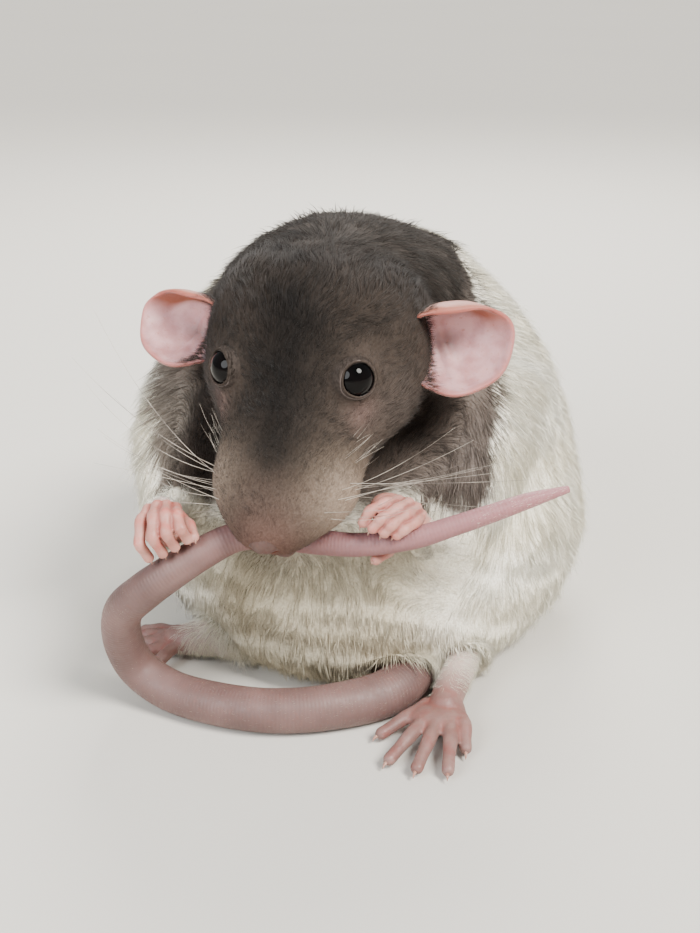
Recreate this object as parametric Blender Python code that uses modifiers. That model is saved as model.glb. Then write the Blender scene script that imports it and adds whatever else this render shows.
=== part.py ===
"""A pet rat, life size, that sits hunched on its belly and grooms its own tail.

The rat faces -Y and its left side is +X. The origin is the middle of the flat on
which the belly and rump rest. Sizes are in millimetres and become metres where a
mesh is made. The flesh is modelled out to the tips of the short coat. The trunk and
the head are lofts that are fused into one skin and parted again with thin cuts, and
whatever grows from them is cut clear of them by the same small gap.
"""

import math

import bmesh
import bpy
from mathutils import Matrix, Vector

MM = 0.001
GAP = 0.3                      # between neighbouring nodes
LEFT, RIGHT = 1, -1

# Driving sizes of the rat
EYE_RADIUS = 3.5
EYE_OPENING = 2.8
LID_RADIUS = 4.2              # inner radius of the lids
EAR_LENGTH = 20.2              # from the head out to the tip
EAR_WIDTH = 17.6
EAR_DEPTH = 5.5
EAR_THICKNESS = 1.0
FINGER_RADIUS = 1.05
TOE_RADIUS = 1.3
CLAW_LENGTH = 0.9

# How the head is held: the point between the eyes, and its turns from facing -Y level
HEAD_AT = Vector((-10.4, -46.0, 61.6))
HEAD_YAW = math.radians(-16.0)
HEAD_PITCH = math.radians(45.0)

# Level sections of the trunk: height, then its reach in -X, +X, -Y and +Y
TRUNK = (
    (-3.0, -24.0, 28.0, -34.0, 38.0),
    (2.0, -34.0, 37.0, -47.5, 47.0),
    (10.0, -38.5, 42.0, -51.0, 51.5),
    (22.0, -42.5, 44.8, -50.0, 52.0),
    (34.0, -44.2, 44.0, -43.0, 49.5),
    (46.0, -41.5, 41.0, -35.5, 45.0),
    (57.0, -35.5, 34.5, -29.0, 38.0),
    (66.0, -27.0, 27.0, -21.0, 30.0),
    (73.0, -16.0, 18.0, -11.0, 21.0),
    (77.5, -4.0, 6.5, 0.0, 9.0),
)

# Sections of the head from nape to nose, in its own frame (x left, y nose, z crown):
# place along y, half width, top, bottom, and how much narrower the top is
SKULL = (
    (-24.0, 17.0, 4.6, -22.5, 0.02),
    (-18.0, 18.4, 9.2, -22.5, 0.06),
    (-12.0, 18.6, 11.4, -22.2, 0.10),
    (-6.0, 17.8, 10.4, -21.8, 0.16),
    (0.0, 16.2, 8.2, -20.8, 0.22),
    (6.0, 14.0, 5.8, -19.0, 0.20),
    (12.0, 12.0, 3.4, -16.6, 0.12),
    (18.0, 10.4, 1.6, -13.6, 0.06),
    (23.0, 8.9, 0.2, -12.2, 0.02),
    (27.0, 6.6, -1.2, -11.2, 0.00),
    (29.4, 3.6, -2.6, -9.2, 0.00),
)

# Sections of the neck, from the skull down into the trunk: place and height of the
# top of the section, of its bottom, the middle along x and the half width
NECK = (
    ((-40.0, 76.0), (-26.0, 44.0), -6.5, 17.0),
    ((-33.0, 81.0), (-24.0, 40.0), -5.8, 20.5),
    ((-24.0, 82.6), (-20.0, 36.0), -5.0, 23.5),
    ((-12.0, 82.0), (-14.0, 32.0), -3.5, 26.0),
    ((0.0, 79.6), (-6.0, 30.0), -1.0, 27.5),
    ((12.0, 74.0), (4.0, 30.0), 1.5, 27.0),
)

# Plain masses of the small nodes. Balls: place, radii and turn in degrees
BALLS = {
    "jaw": (((0, 17.5, -17.0), (4.6, 6.0, 3.4), (-12, 0, 0)),
            ((0, 8.0, -18.4), (7.6, 9.5, 5.0), (-8, 0, 0))),
    "hand_left": (((7.2, -52.4, 38.8), (4.4, 2.8, 3.2), (0, 30, -8)),),
    "hand_right": (((-32.2, -53.6, 37.2), (4.4, 3.4, 4.0), (0, 0, 0)),),
    "foot_left": (((13.6, -58.0, 3.0), (5.2, 4.2, 2.4), (0, 0, 0)),),
    "foot_right": (((-36.6, -31.0, 2.8), (2.8, 3.6, 2.2), (0, 0, 0)),),
}

# Limbs: wrists and soles, place and radius at each joint
LIMBS = {
    "hand_left": (((10.0, -48.6, 34.6), 3.1), ((7.8, -51.4, 38.2), 2.9)),
    "hand_right": (((-33.4, -46.6, 36.4), 3.2), ((-32.8, -52.0, 37.2), 3.1)),
    "foot_left": (((19.0, -38.0, 5.4), 4.2), ((17.8, -46.0, 5.4), 3.3),
                  ((16.0, -51.5, 4.4), 3.0), ((14.6, -56.0, 3.4), 3.0)),
    "foot_right": (((-22.0, -33.0, 4.6), 4.2), ((-28.0, -32.4, 4.4), 3.7),
                   ((-33.0, -31.4, 3.4), 3.1), ((-35.0, -31.0, 3.2), 2.9)),
}

# The forelegs from shoulder to wrist: place and radius
LEFT_FORELEG = (
    ((24.0, -20.0, 48.0), 12.5),
    ((22.0, -32.0, 39.0), 9.5),
    ((17.0, -41.5, 26.5), 6.2),
    ((12.5, -47.5, 30.0), 4.3),
    ((8.6, -50.2, 36.5), 3.0),
)
RIGHT_FORELEG = (
    ((-29.0, -17.0, 47.0), 12.5),
    ((-33.0, -29.0, 41.0), 9.0),
    ((-34.0, -38.0, 32.0), 6.0),
    ((-34.0, -44.0, 33.5), 4.4),
    ((-33.2, -48.4, 36.6), 3.1),
)

# Swellings and hollows: place, reach and height. The trunk's are in the rat's frame
TRUNK_SWELLS = (
    ((34.0, -16.0, 18.0), 17.0, 3.5),      # left haunch
    ((-32.0, -14.0, 18.0), 16.0, 3.0),     # right haunch
    ((24.0, -22.0, 46.0), 14.0, 6.0),      # left shoulder
    ((-30.0, -18.0, 44.0), 13.0, 4.5),     # right shoulder
    ((4.0, -46.0, 26.0), 9.0, -1.5),       # fold under the chest
)
HEAD_SWELLS = (
    ((15.0, -5.0, -11.0), 9.5, 3.0),       # left cheek
    ((-15.0, -5.0, -11.0), 9.5, 3.0),      # right cheek
    ((8.0, 3.5, 3.0), 4.0, -1.3),          # hollow before the left eye
    ((-8.0, 3.5, 3.0), 4.0, -1.3),         # hollow before the right eye
    ((7.5, -3.5, 8.0), 4.5, 0.9),          # left brow
    ((-7.5, -3.5, 8.0), 4.5, 0.9),         # right brow
    ((12.2, 1.6, 2.6), 4.6, 1.2),          # left eye's mound
    ((-12.2, 1.6, 2.6), 4.6, 1.2),         # right eye's mound
    ((9.5, 17.5, -8.5), 6.0, 2.4),         # left whisker pad
    ((-9.5, 17.5, -8.5), 6.0, 2.0),        # right whisker pad
    ((0.0, 29.5, -4.5), 2.6, 1.0),         # nose
)

# The tail's route from its root to its tip, with its radius at each place
TAIL = (
    ((15.0, 36.0, 6.4), 5.3),
    ((15.0, 14.0, 5.2), 5.1),
    ((13.0, -8.0, 4.9), 4.9),
    ((11.5, -28.0, 4.7), 4.7),
    ((10.0, -43.0, 4.4), 4.4),
    ((5.0, -51.5, 4.1), 4.15),
    ((-5.0, -55.8, 3.9), 3.95),
    ((-15.0, -56.8, 3.8), 3.85),
    ((-24.5, -54.5, 3.7), 3.75),
    ((-33.0, -50.5, 3.9), 3.65),
    ((-39.0, -48.2, 7.2), 3.55),
    ((-41.0, -50.0, 14.0), 3.45),
    ((-40.0, -53.0, 21.0), 3.35),
    ((-36.0, -55.6, 26.0), 3.25),
    ((-31.0, -56.6, 30.2), 3.05),
    ((-25.6, -56.2, 33.6), 2.75),
    ((-20.0, -54.8, 35.8), 2.45),
    ((-13.8, -53.4, 35.2), 2.25),
    ((-5.7, -54.5, 34.6), 2.1),
    ((1.0, -56.0, 35.0), 1.95),
    ((9.0, -56.4, 36.4), 1.85),
    ((15.0, -56.0, 38.2), 1.7),
    ((21.5, -54.8, 40.0), 1.55),
    ((28.0, -53.2, 41.7), 1.3),
    ((34.5, -51.2, 42.8), 0.6),
)
TAIL_PARTS = 8
FINE_SKIN = 9000               # triangles in the whole skin that the head is cut from
COARSE_SKIN = 2000             # and in the one that the rest is cut from
TAIL_STEP = 3.0                # between the sections of the tail's tube

# Colour and roughness by the first word of a node's name
COLOURS = {
    "torso": ((0.76, 0.75, 0.66), 0.9),
    "thigh": ((0.76, 0.75, 0.66), 0.9),
    "neck": ((0.16, 0.13, 0.11), 0.9),
    "head": ((0.17, 0.14, 0.12), 0.9),
    "jaw": ((0.55, 0.50, 0.44), 0.9),
    "foreleg": ((0.30, 0.26, 0.23), 0.9),
    "ear": ((0.62, 0.33, 0.29), 0.55),
    "eye": ((0.006, 0.005, 0.005), 0.05),
    "hand": ((0.63, 0.30, 0.26), 0.5),
    "foot": ((0.62, 0.36, 0.30), 0.55),
    "tail": ((0.46, 0.29, 0.25), 0.6),
}


def head_matrix():
    """The head's frame in the rat's: its columns are left, nose and crown."""
    faces = Matrix(((1, 0, 0), (0, -1, 0), (0, 0, 1)))
    nod = Matrix.Rotation(HEAD_PITCH, 3, "X")
    turn = Matrix.Rotation(HEAD_YAW, 3, "Z") @ nod @ faces
    return Matrix.Translation(HEAD_AT) @ turn.to_4x4()


HEAD_FRAME = head_matrix()


def clear_scene():
    for obj in list(bpy.data.objects):
        bpy.data.objects.remove(obj)


def spline(rows, steps):
    """Rows of numbers with a smooth run of steps rows between each pair of them."""
    ends = [rows[0], *rows, rows[-1]]
    made = []
    for before, start, stop, after in zip(ends, ends[1:], ends[2:], ends[3:]):
        for i in range(steps):
            t = i / steps
            made.append(
                tuple(
                    0.5
                    * (
                        2 * b
                        + (c - a) * t
                        + (2 * a - 5 * b + 4 * c - d) * t * t
                        + (3 * b - a - 3 * c + d) * t ** 3
                    )
                    for a, b, c, d in zip(before, start, stop, after)
                )
            )
    return [*made, tuple(rows[-1])]


def new_object(name, bm):
    mesh = bpy.data.meshes.new(name)
    bmesh.ops.recalc_face_normals(bm, faces=bm.faces)
    bm.to_mesh(mesh)
    bm.free()
    obj = bpy.data.objects.new(name, mesh)
    bpy.context.scene.collection.objects.link(obj)
    return obj


def loft(name, rings, frame=None):
    """A closed skin through rings of equal count, in millimetres."""
    bm = bmesh.new()
    frame = frame or Matrix.Identity(4)
    made = [[bm.verts.new(frame @ point * MM) for point in ring] for ring in rings]
    for lower, upper in zip(made, made[1:]):
        for i, corner in enumerate(lower):
            j = (i + 1) % len(lower)
            bm.faces.new((corner, lower[j], upper[j], upper[i]))
    bm.faces.new(made[0][::-1])
    bm.faces.new(made[-1])
    return new_object(name, bm)


def turns(count):
    return [2 * math.pi * i / count for i in range(count)]


def trunk_ring(z, west, east, front, back):
    """One level section of the trunk, an ellipse a little squared."""
    power = 0.93
    ring = []
    for a in turns(48):
        x = math.copysign(abs(math.cos(a)) ** power, math.cos(a))
        y = math.copysign(abs(math.sin(a)) ** power, math.sin(a))
        ring.append(
            Vector(
                (
                    (west + east) / 2 + (east - west) / 2 * x,
                    (front + back) / 2 + (back - front) / 2 * y,
                    z,
                )
            )
        )
    return ring


def skull_ring(y, half, top, bottom, taper):
    """One section of the head, across it: an egg with its narrow end up."""
    ring = []
    for a in turns(40):
        x = half * math.cos(a) * (1 - taper * math.sin(a))
        z = (top + bottom) / 2 + (top - bottom) / 2 * math.sin(a)
        ring.append(Vector((x, y, z)))
    return ring


def swell(obj, swells, frame=None):
    """Raises or sinks an object's skin round each named place."""
    frame = frame or Matrix.Identity(4)
    for place, reach, height in swells:
        centre = frame @ Vector(place) * MM
        normals = [v.normal.copy() for v in obj.data.vertices]
        for v, normal in zip(obj.data.vertices, normals):
            share = math.exp(-(((v.co - centre).length / (reach * MM)) ** 2))
            v.co += normal * height * MM * share
    obj.data.update()


def apply_modifiers(obj):
    graph = bpy.context.evaluated_depsgraph_get()
    mesh = bpy.data.meshes.new_from_object(obj.evaluated_get(graph))
    obj.modifiers.clear()
    obj.data = mesh
    return obj


def join(name, objects):
    """Objects made one, their meshes only laid together."""
    bm = bmesh.new()
    for obj in objects:
        bm.from_mesh(obj.data)
        bpy.data.objects.remove(obj)
    return new_object(name, bm)


def remesh(obj, voxel):
    modifier = obj.modifiers.new("remesh", "REMESH")
    modifier.mode = "VOXEL"
    modifier.voxel_size = voxel * MM
    return apply_modifiers(obj)


def smooth(obj, rounds, centre=None, reach=1.0):
    """Smooths all of an object, or only round a place in the rat's frame."""
    modifier = obj.modifiers.new("smooth", "SMOOTH")
    modifier.factor = 0.5
    modifier.iterations = rounds
    if centre is not None:
        group = obj.vertex_groups.new(name="near")
        for v in obj.data.vertices:
            away = (v.co / MM - centre).length / reach
            group.add([v.index], math.exp(-away * away), "REPLACE")
        modifier.vertex_group = group.name
    apply_modifiers(obj)
    obj.vertex_groups.clear()
    return obj


def decimate(obj, triangles):
    obj.data.calc_loop_triangles()
    share = triangles / len(obj.data.loop_triangles)
    if share < 1:
        modifier = obj.modifiers.new("decimate", "DECIMATE")
        modifier.ratio = share
        apply_modifiers(obj)
    return obj


def triangulated(mesh):
    """Triangulates a mesh, and says whether it is one closed skin."""
    bm = bmesh.new()
    bm.from_mesh(mesh)
    bmesh.ops.triangulate(bm, faces=bm.faces)
    closed = len(bm.faces) > 0 and all(len(edge.link_faces) == 2 for edge in bm.edges)
    bm.to_mesh(mesh)
    bm.free()
    return closed


def boolean(obj, other, operation):
    """One Boolean of two objects, applied. The other object is kept."""
    before = obj.data.copy()
    for solver in ("EXACT", "MANIFOLD"):
        obj.data = before.copy()
        modifier = obj.modifiers.new("boolean", "BOOLEAN")
        modifier.object = other
        modifier.operation = operation
        modifier.solver = solver
        apply_modifiers(obj)
        if triangulated(obj.data):
            break
    return obj


def largest(obj):
    """Keeps only the largest closed surface of an object."""
    bm = bmesh.new()
    bm.from_mesh(obj.data)
    bm.faces.ensure_lookup_table()
    seen, best, most = set(), [], -1.0
    for face in bm.faces:
        if face.index in seen:
            continue
        island, edge = [], [face]
        seen.add(face.index)
        while edge:
            at = edge.pop()
            island.append(at)
            for side in at.edges:
                for other in side.link_faces:
                    if other.index not in seen:
                        seen.add(other.index)
                        edge.append(other)
        area = sum(f.calc_area() for f in island)
        if area > most:
            best, most = island, area
    kept = set(best)
    bmesh.ops.delete(bm, geom=[f for f in bm.faces if f not in kept], context="FACES")
    bm.to_mesh(obj.data)
    bm.free()
    return obj


def copied(obj, name="copy"):
    twin = bpy.data.objects.new(name, obj.data.copy())
    bpy.context.scene.collection.objects.link(twin)
    return twin


def grown(obj, by=GAP):
    """A copy of an object, larger by the gap all round."""
    twin = copied(obj, "grown")
    normals = [v.normal.copy() for v in twin.data.vertices]
    for v, normal in zip(twin.data.vertices, normals):
        v.co += normal * by * MM
    return twin


def cut_clear(obj, *others, by=GAP):
    """Cuts an object back by the gap from its neighbours, which are kept."""
    for other in others:
        cutter = grown(other, by)
        boolean(obj, cutter, "DIFFERENCE")
        bpy.data.objects.remove(cutter)
    return largest(obj)


def box(low, high, frame=None, name="box"):
    """A box between two corners, in a frame."""
    bm = bmesh.new()
    low, high = Vector(low), Vector(high)
    place = (
        Matrix.Scale(MM, 4)
        @ (frame or Matrix.Identity(4))
        @ Matrix.Translation((low + high) / 2)
        @ Matrix.Diagonal((*(high - low), 1.0))
    )
    bmesh.ops.create_cube(bm, size=1.0, matrix=place)
    return new_object(name, bm)


def ball(centre, radii, turn=(0, 0, 0), frame=None, name="ball", segments=32):
    """An ellipsoid, turned in degrees about X, then Y, then Z of its frame."""
    bm = bmesh.new()
    spin = [Matrix.Rotation(math.radians(a), 4, n) for a, n in zip(turn, "XYZ")]
    place = (
        Matrix.Scale(MM, 4)
        @ (frame or Matrix.Identity(4))
        @ Matrix.Translation(centre)
        @ spin[2] @ spin[1] @ spin[0]
        @ Matrix.Diagonal((*radii, 1.0))
    )
    bmesh.ops.create_uvsphere(
        bm, u_segments=segments, v_segments=segments // 2, radius=1.0, matrix=place
    )
    return new_object(name, bm)


def wedge(corners, across, frame, name="wedge"):
    """A prism: corners in the frame's YZ plane, run across its X both ways."""
    rings = [[Vector((x, y, z)) for y, z in corners] for x in (-across, across)]
    return loft(name, rings, frame)


def tube_rings(points, radii, sides):
    """Round sections square to a line of points, and the line's way at each."""
    points = [Vector(p) for p in points]
    rings, ways = [], []
    side = None
    for i, point in enumerate(points):
        way = (points[min(i + 1, len(points) - 1)] - points[max(i - 1, 0)]).normalized()
        if side is None:
            side = way.orthogonal().normalized()
        side = (side - way * side.dot(way)).normalized()
        other = way.cross(side)
        rings.append(
            [
                point + radii[i] * (side * math.cos(a) + other * math.sin(a))
                for a in turns(sides)
            ]
        )
        ways.append(way)
    return rings, ways


def tube(name, points, radii, sides=12, frame=None):
    """A round tube through points, its radius changing along it."""
    return loft(name, tube_rings(points, radii, sides)[0], frame)


def limb(name, joints, frame=None, steps=4, sides=12):
    """A tapered tube through (place, radius) joints, with round ends."""
    rows = spline([(*place, radius) for place, radius in joints], steps)
    points = [Vector(row[:3]) for row in rows]
    radii = [row[3] for row in rows]
    first = (points[0] - points[1]).normalized()
    last = (points[-1] - points[-2]).normalized()
    for share in (0.55, 0.9):
        points.insert(0, points[0] + first * radii[0] * share * 0.5)
        radii.insert(0, radii[0] * math.sqrt(1 - share * share * 0.9))
        points.append(points[-1] + last * radii[-1] * share * 0.5)
        radii.append(radii[-1] * math.sqrt(1 - share * share * 0.9))
    return tube(name, points, radii, sides, frame)


def flatten(obj):
    """Cuts off what would reach below the floor."""
    below = box((-90, -120, -30), (90, 90, 0))
    boolean(obj, below, "DIFFERENCE")
    bpy.data.objects.remove(below)
    return obj


def ring_of_neck(top, bottom, middle, half):
    """One section of the neck: an ellipse between a top and a bottom place."""
    top, bottom = Vector((middle, *top)), Vector((middle, *bottom))
    centre, up = (top + bottom) / 2, (top - bottom) / 2
    return [
        centre + up * math.sin(a) + Vector((half * math.cos(a), 0.0, 0.0))
        for a in turns(40)
    ]


def flesh():
    """Trunk, neck, head and forelegs as one skin."""
    trunk = loft("trunk", [trunk_ring(*row) for row in spline(TRUNK, 4)])
    swell(trunk, TRUNK_SWELLS)
    head = loft("skull", [skull_ring(*row) for row in spline(SKULL, 3)], HEAD_FRAME)
    swell(head, HEAD_SWELLS, HEAD_FRAME)
    rows = [(*top, *bottom, mid, half) for top, bottom, mid, half in NECK]
    neck = loft(
        "neck",
        [ring_of_neck(r[0:2], r[2:4], r[4], r[5]) for r in spline(rows, 3)],
    )
    left = limb("left", LEFT_FORELEG, sides=20)
    right = limb("right", RIGHT_FORELEG, sides=20)
    whole = remesh(join("whole", [trunk, head, neck, left, right]), 1.0)
    smooth(whole, 40, HEAD_FRAME @ Vector((0.0, -24.0, -2.0)), 20.0)
    smooth(whole, 30, Vector((0.0, -5.0, 60.0)), 26.0)
    smooth(whole, 14, Vector((20.0, -30.0, 40.0)), 16.0)
    smooth(whole, 14, Vector((-28.0, -28.0, 40.0)), 16.0)
    smooth(whole, 3)
    return whole


# Regions of the whole skin, each a cutter that can be made larger by the gap


def head_region():
    """A box behind the ears that narrows toward the nose, clear of the forelegs."""
    sections = ((-16.0, 21.0, -24.0), (4.0, 20.0, -22.5), (14.0, 14.5, -20.0), (45, 13.0, -16.0))
    rings = [
        [Vector((x * half, y, z)) for x, z in ((-1, low), (1, low), (1, 40), (-1, 40))]
        for y, half, low in sections
    ]
    return loft("head region", rings, HEAD_FRAME)


def neck_region():
    corners = ((-60, 47), (-26, 47), (-6, 60), (10, 95), (-60, 95))
    return wedge(corners, 44, Matrix.Translation((-5, 0, 0)), "neck region")


def thigh_region(side):
    x = 33.0 if side == LEFT else -31.5
    return ball((x, -9.0, 19.0), (18.5, 29.0, 24.5), (0, 0, -14 * side), segments=22)


def foreleg_region(side):
    """A cutter that holds the upper arm and the forearm, one clean skin."""
    rows = LEFT_FORELEG if side == LEFT else RIGHT_FORELEG
    masses = [
        ball(Vector(place) * (1 - t) + Vector(after) * t, (ra * (1 - t) + rb * t + 2.4,) * 3)
        for (place, ra), (after, rb) in zip(rows, rows[1:])
        for t in (0.0, 0.33, 0.67, 1.0)
    ]
    return joined("foreleg region", masses, 1.2, 8, 360)


def split(obj, cutter):
    """The part of an object inside a cutter; the object itself is cut back from it."""
    inner = boolean(copied(obj), cutter, "INTERSECT")
    larger = grown(cutter)
    boolean(obj, larger, "DIFFERENCE")
    for used in (cutter, larger):
        bpy.data.objects.remove(used)
    return largest(inner), largest(obj)


def named(obj, name):
    obj.name = obj.data.name = name
    return obj


def joined(name, objects, voxel, rounds, triangles):
    """Small masses fused into one skin."""
    whole = remesh(join(name, objects), voxel)
    smooth(whole, rounds)
    decimate(whole, triangles)
    return named(largest(whole), name)


def tail_centres():
    """The tail's centre line and radius at every TAIL_STEP."""
    rows = spline([(*place, radius) for place, radius in TAIL], 12)
    kept, run = [rows[0]], 0.0
    for before, row in zip(rows, rows[1:]):
        run += (Vector(row[:3]) - Vector(before[:3])).length
        if run >= TAIL_STEP:
            kept.append(row)
            run = 0.0
    if rows[-1] != kept[-1]:
        kept[-1] = rows[-1]
    return [(Vector(row[:3]), row[3]) for row in kept]


def tail_nodes():
    """The tail in lengths with the gap between them, flat where they lie down."""
    rows = tail_centres()
    rings, ways = tube_rings([p for p, _ in rows], [r for _, r in rows], 12)
    count = len(rows) - 1
    nodes = []
    for part in range(TAIL_PARTS):
        first = round(count * part / TAIL_PARTS)
        last = round(count * (part + 1) / TAIL_PARTS)
        piece = rings[first : last + 1]
        if part:
            piece[0] = [point + ways[first] * GAP for point in piece[0]]
        obj = loft(f"tail_{part + 1}", piece)
        for v in obj.data.vertices:
            v.co.z = max(v.co.z, 0.0)
        nodes.append(obj)
    return nodes


def whole_tail(every=1, sides=12, margin=0.0):
    """All the tail as one tube, larger by the gap, to cut its neighbours with."""
    rows = tail_centres()
    first, second = rows[0][0], rows[1][0]
    rows[0] = (first + (first - second).normalized() * GAP, rows[0][1])
    rows = [*rows[:-1:every], rows[-1]]
    return tube("whole tail", [p for p, _ in rows], [r + GAP + margin for _, r in rows], sides)


def eye_frame(side):
    """The eye's frame in the head's: its Z looks out along the eye's axis."""
    axis = Vector((0.62 * side, 0.42, 0.66)).normalized()
    place = Matrix.Translation((10.3 * side, 1.2, 1.6))
    return HEAD_FRAME @ place @ axis.to_track_quat("Z", "Y").to_matrix().to_4x4()


def add_lids(head):
    """Lids that hug each eye, then the socket and the opening it looks out of."""
    for side in (LEFT, RIGHT):
        frame = eye_frame(side)
        opening = ball((0, 0, 3.4), (EYE_OPENING, EYE_OPENING * 0.94, 1.6), frame=frame,
                       segments=14)
        steps = (
            ("UNION", ball((0, 0, 0), (LID_RADIUS,) * 3, frame=frame, segments=18)),
            ("DIFFERENCE", ball((0, 0, 0), (EYE_RADIUS + GAP,) * 3, frame=frame, segments=16)),
            ("DIFFERENCE", opening),
        )
        for operation, tool in steps:
            boolean(head, tool, operation)
            bpy.data.objects.remove(tool)


def add_nose(head):
    """Nostrils, the groove between them and the split of the upper lip."""
    cutters = [
        ball((2.1 * side, 29.6, -5.6), (0.85, 1.6, 0.65), (-25, 0, -28 * side),
             HEAD_FRAME, segments=12)
        for side in (LEFT, RIGHT)
    ]
    cutters.append(ball((0, 30.0, -9.0), (0.45, 1.7, 4.2), (-14, 0, 0), HEAD_FRAME,
                        segments=12))
    for cutter in cutters:
        boolean(head, cutter, "DIFFERENCE")
        bpy.data.objects.remove(cutter)


def masses(name, by=0.0, segments=20):
    """The plain masses that a small node is fused from, larger by a margin."""
    made = []
    for place, radii, turn in BALLS.get(name, ()):
        frame = HEAD_FRAME if name == "jaw" else None
        made.append(ball(place, [r + by for r in radii], turn, frame, segments=segments))
    if name in LIMBS:
        joints = [(place, radius + by) for place, radius in LIMBS[name]]
        made.append(limb(name, joints, steps=3, sides=12))
    return made


def ear_surface(side):
    """The ear's bowl as a grid of rings, in its own frame: X out, Y up, Z its face."""
    rings = []
    for i in range(6):
        share = i / 5
        ring = []
        for a in turns(20):
            out, up = math.cos(a), math.sin(a)
            reach = EAR_LENGTH / 2 * (1.0 if out > 0 else 0.92)
            x = EAR_LENGTH / 2 - 1.6 + out * share * reach
            y = up * share * EAR_WIDTH / 2 * (1.0 + 0.10 * out)
            bowl = EAR_DEPTH * (1 - share ** 1.7)
            root = 3.4 * max(0.0, -out) ** 2 * share ** 3
            fold = 2.4 * max(0.0, up) ** 2 * share ** 6 * (1.0 if out > -0.6 else 0.3)
            fold_in = 1.6 * max(0.0, up) ** 3 * share ** 5
            ridge = 0.55 * math.exp(-(((x - 6.0) / 1.5) ** 2)) * (1 - share)
            ring.append(Vector((x, y - fold_in, -bowl + fold - root + ridge)))
        rings.append(ring)
    return rings


def ear_frame(side):
    """Where an ear grows from the head, and how it is turned."""
    if side == LEFT:
        base, out, face = (6.8, -41.5, 64.0), (0.985, 0.14, -0.02), (0.12, -0.92, 0.34)
        size = 1.0
    else:
        base, out, face = (-23.2, -32.0, 64.4), (-0.87, 0.48, 0.04), (-0.46, -0.64, 0.60)
        size = 0.92
    x = Vector(out).normalized()
    z = Vector(face)
    z = (z - x * z.dot(x)).normalized()
    y = z.cross(x) * side
    turn = Matrix((x, y, z)).transposed().to_4x4()
    return Matrix.Translation(base) @ turn @ Matrix.Scale(size, 4)


def ear_mass(side):
    """A thin bowl, thickened outward, with the short root it stands on."""
    frame = ear_frame(side)
    front = ear_surface(side)
    bm = bmesh.new()
    made = [[bm.verts.new(frame @ p * MM) for p in ring] for ring in front[1:]]
    heart = bm.verts.new(frame @ front[0][0] * MM)
    count = len(made[0])
    for i in range(count):
        bm.faces.new((heart, made[0][i], made[0][(i + 1) % count]))
    for inner, outer in zip(made, made[1:]):
        for i in range(count):
            j = (i + 1) % count
            bm.faces.new((inner[i], outer[i], outer[j], inner[j]))
    ear = new_object("ear", bm)
    modifier = ear.modifiers.new("shell", "SOLIDIFY")
    modifier.thickness = EAR_THICKNESS * MM
    modifier.offset = 0.0
    return apply_modifiers(ear)


def claw(tip, before, reach):
    """A small claw that starts inside the toe it belongs to and hooks down."""
    tip, before = Vector(tip), Vector(before)
    along = (tip - before).normalized()
    root = tip + along * reach * 0.5
    points = [root, root + along * CLAW_LENGTH * 0.75,
              root + along * CLAW_LENGTH * 1.4 + Vector((0, 0, -0.35))]
    return tube("claw", points, [0.46, 0.40, 0.26], 6)


def digits(paths, radius):
    """Fingers or toes along the given paths, and their claws."""
    flesh_parts, claws = [], []
    for path in paths:
        last = len(path) - 1
        joints = [(p, radius * (1.08 if i in (0, last) else 0.94)) for i, p in enumerate(path)]
        flesh_parts.append(limb("digit", joints, steps=3, sides=10))
        claws.append(claw(path[-1], path[-2], radius))
    return flesh_parts, claws


def clawed(name, masses, claws, voxel, triangles):
    """Masses fused to one skin, with the claws grown out of it."""
    whole = joined(name, masses, voxel, 2, triangles)
    nails = join("claws", claws)
    boolean(whole, nails, "UNION")
    bpy.data.objects.remove(nails)
    return largest(whole)


# Each finger's route over the back of the fist, with the thumb last
RIGHT_FINGERS = (
    ((-34.5, -53.0, 40.0), (-35.3, -57.0, 39.6), (-35.3, -59.6, 36.8), (-34.0, -58.8, 33.8)),
    ((-33.0, -53.4, 40.8), (-33.1, -58.0, 40.8), (-32.9, -60.6, 38.2), (-31.6, -59.4, 34.9)),
    ((-31.5, -53.4, 40.8), (-31.1, -58.0, 41.2), (-30.7, -60.6, 39.0), (-29.6, -59.4, 36.0)),
    ((-30.2, -53.0, 40.2), (-29.3, -57.6, 41.0), (-28.5, -60.2, 39.8), (-27.6, -59.0, 37.2)),
    ((-29.0, -52.6, 38.3), (-26.8, -56.0, 39.4), (-25.4, -57.8, 38.8)),
)
LEFT_FINGERS = (
    ((6.6, -52.4, 41.2), (4.3, -55.0, 42.0), (1.7, -57.0, 41.4), (0.5, -57.4, 39.4)),
    ((8.2, -52.4, 40.8), (6.3, -56.0, 41.4), (3.5, -58.4, 40.6), (2.0, -58.6, 38.9)),
    ((9.4, -52.2, 39.9), (7.8, -56.4, 40.6), (5.3, -58.8, 39.8), (3.9, -58.8, 38.2)),
    ((10.2, -52.2, 38.6), (9.1, -56.4, 39.2), (7.1, -58.6, 38.8), (5.9, -58.6, 37.8)),
    ((7.4, -51.8, 35.8), (5.0, -53.4, 32.6), (2.6, -56.2, 32.2)),
)


def right_hand():
    """A fist above the tail, its finger tips on the tail's front."""
    fingers, claws = digits(RIGHT_FINGERS, FINGER_RADIUS)
    return clawed("hand_right", masses("hand_right") + fingers, claws, 0.42, 430)


def left_hand():
    """A fist above the tail, its thumb under it."""
    fingers, claws = digits(LEFT_FINGERS, FINGER_RADIUS)
    return clawed("hand_left", masses("hand_left") + fingers, claws, 0.42, 430)


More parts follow.
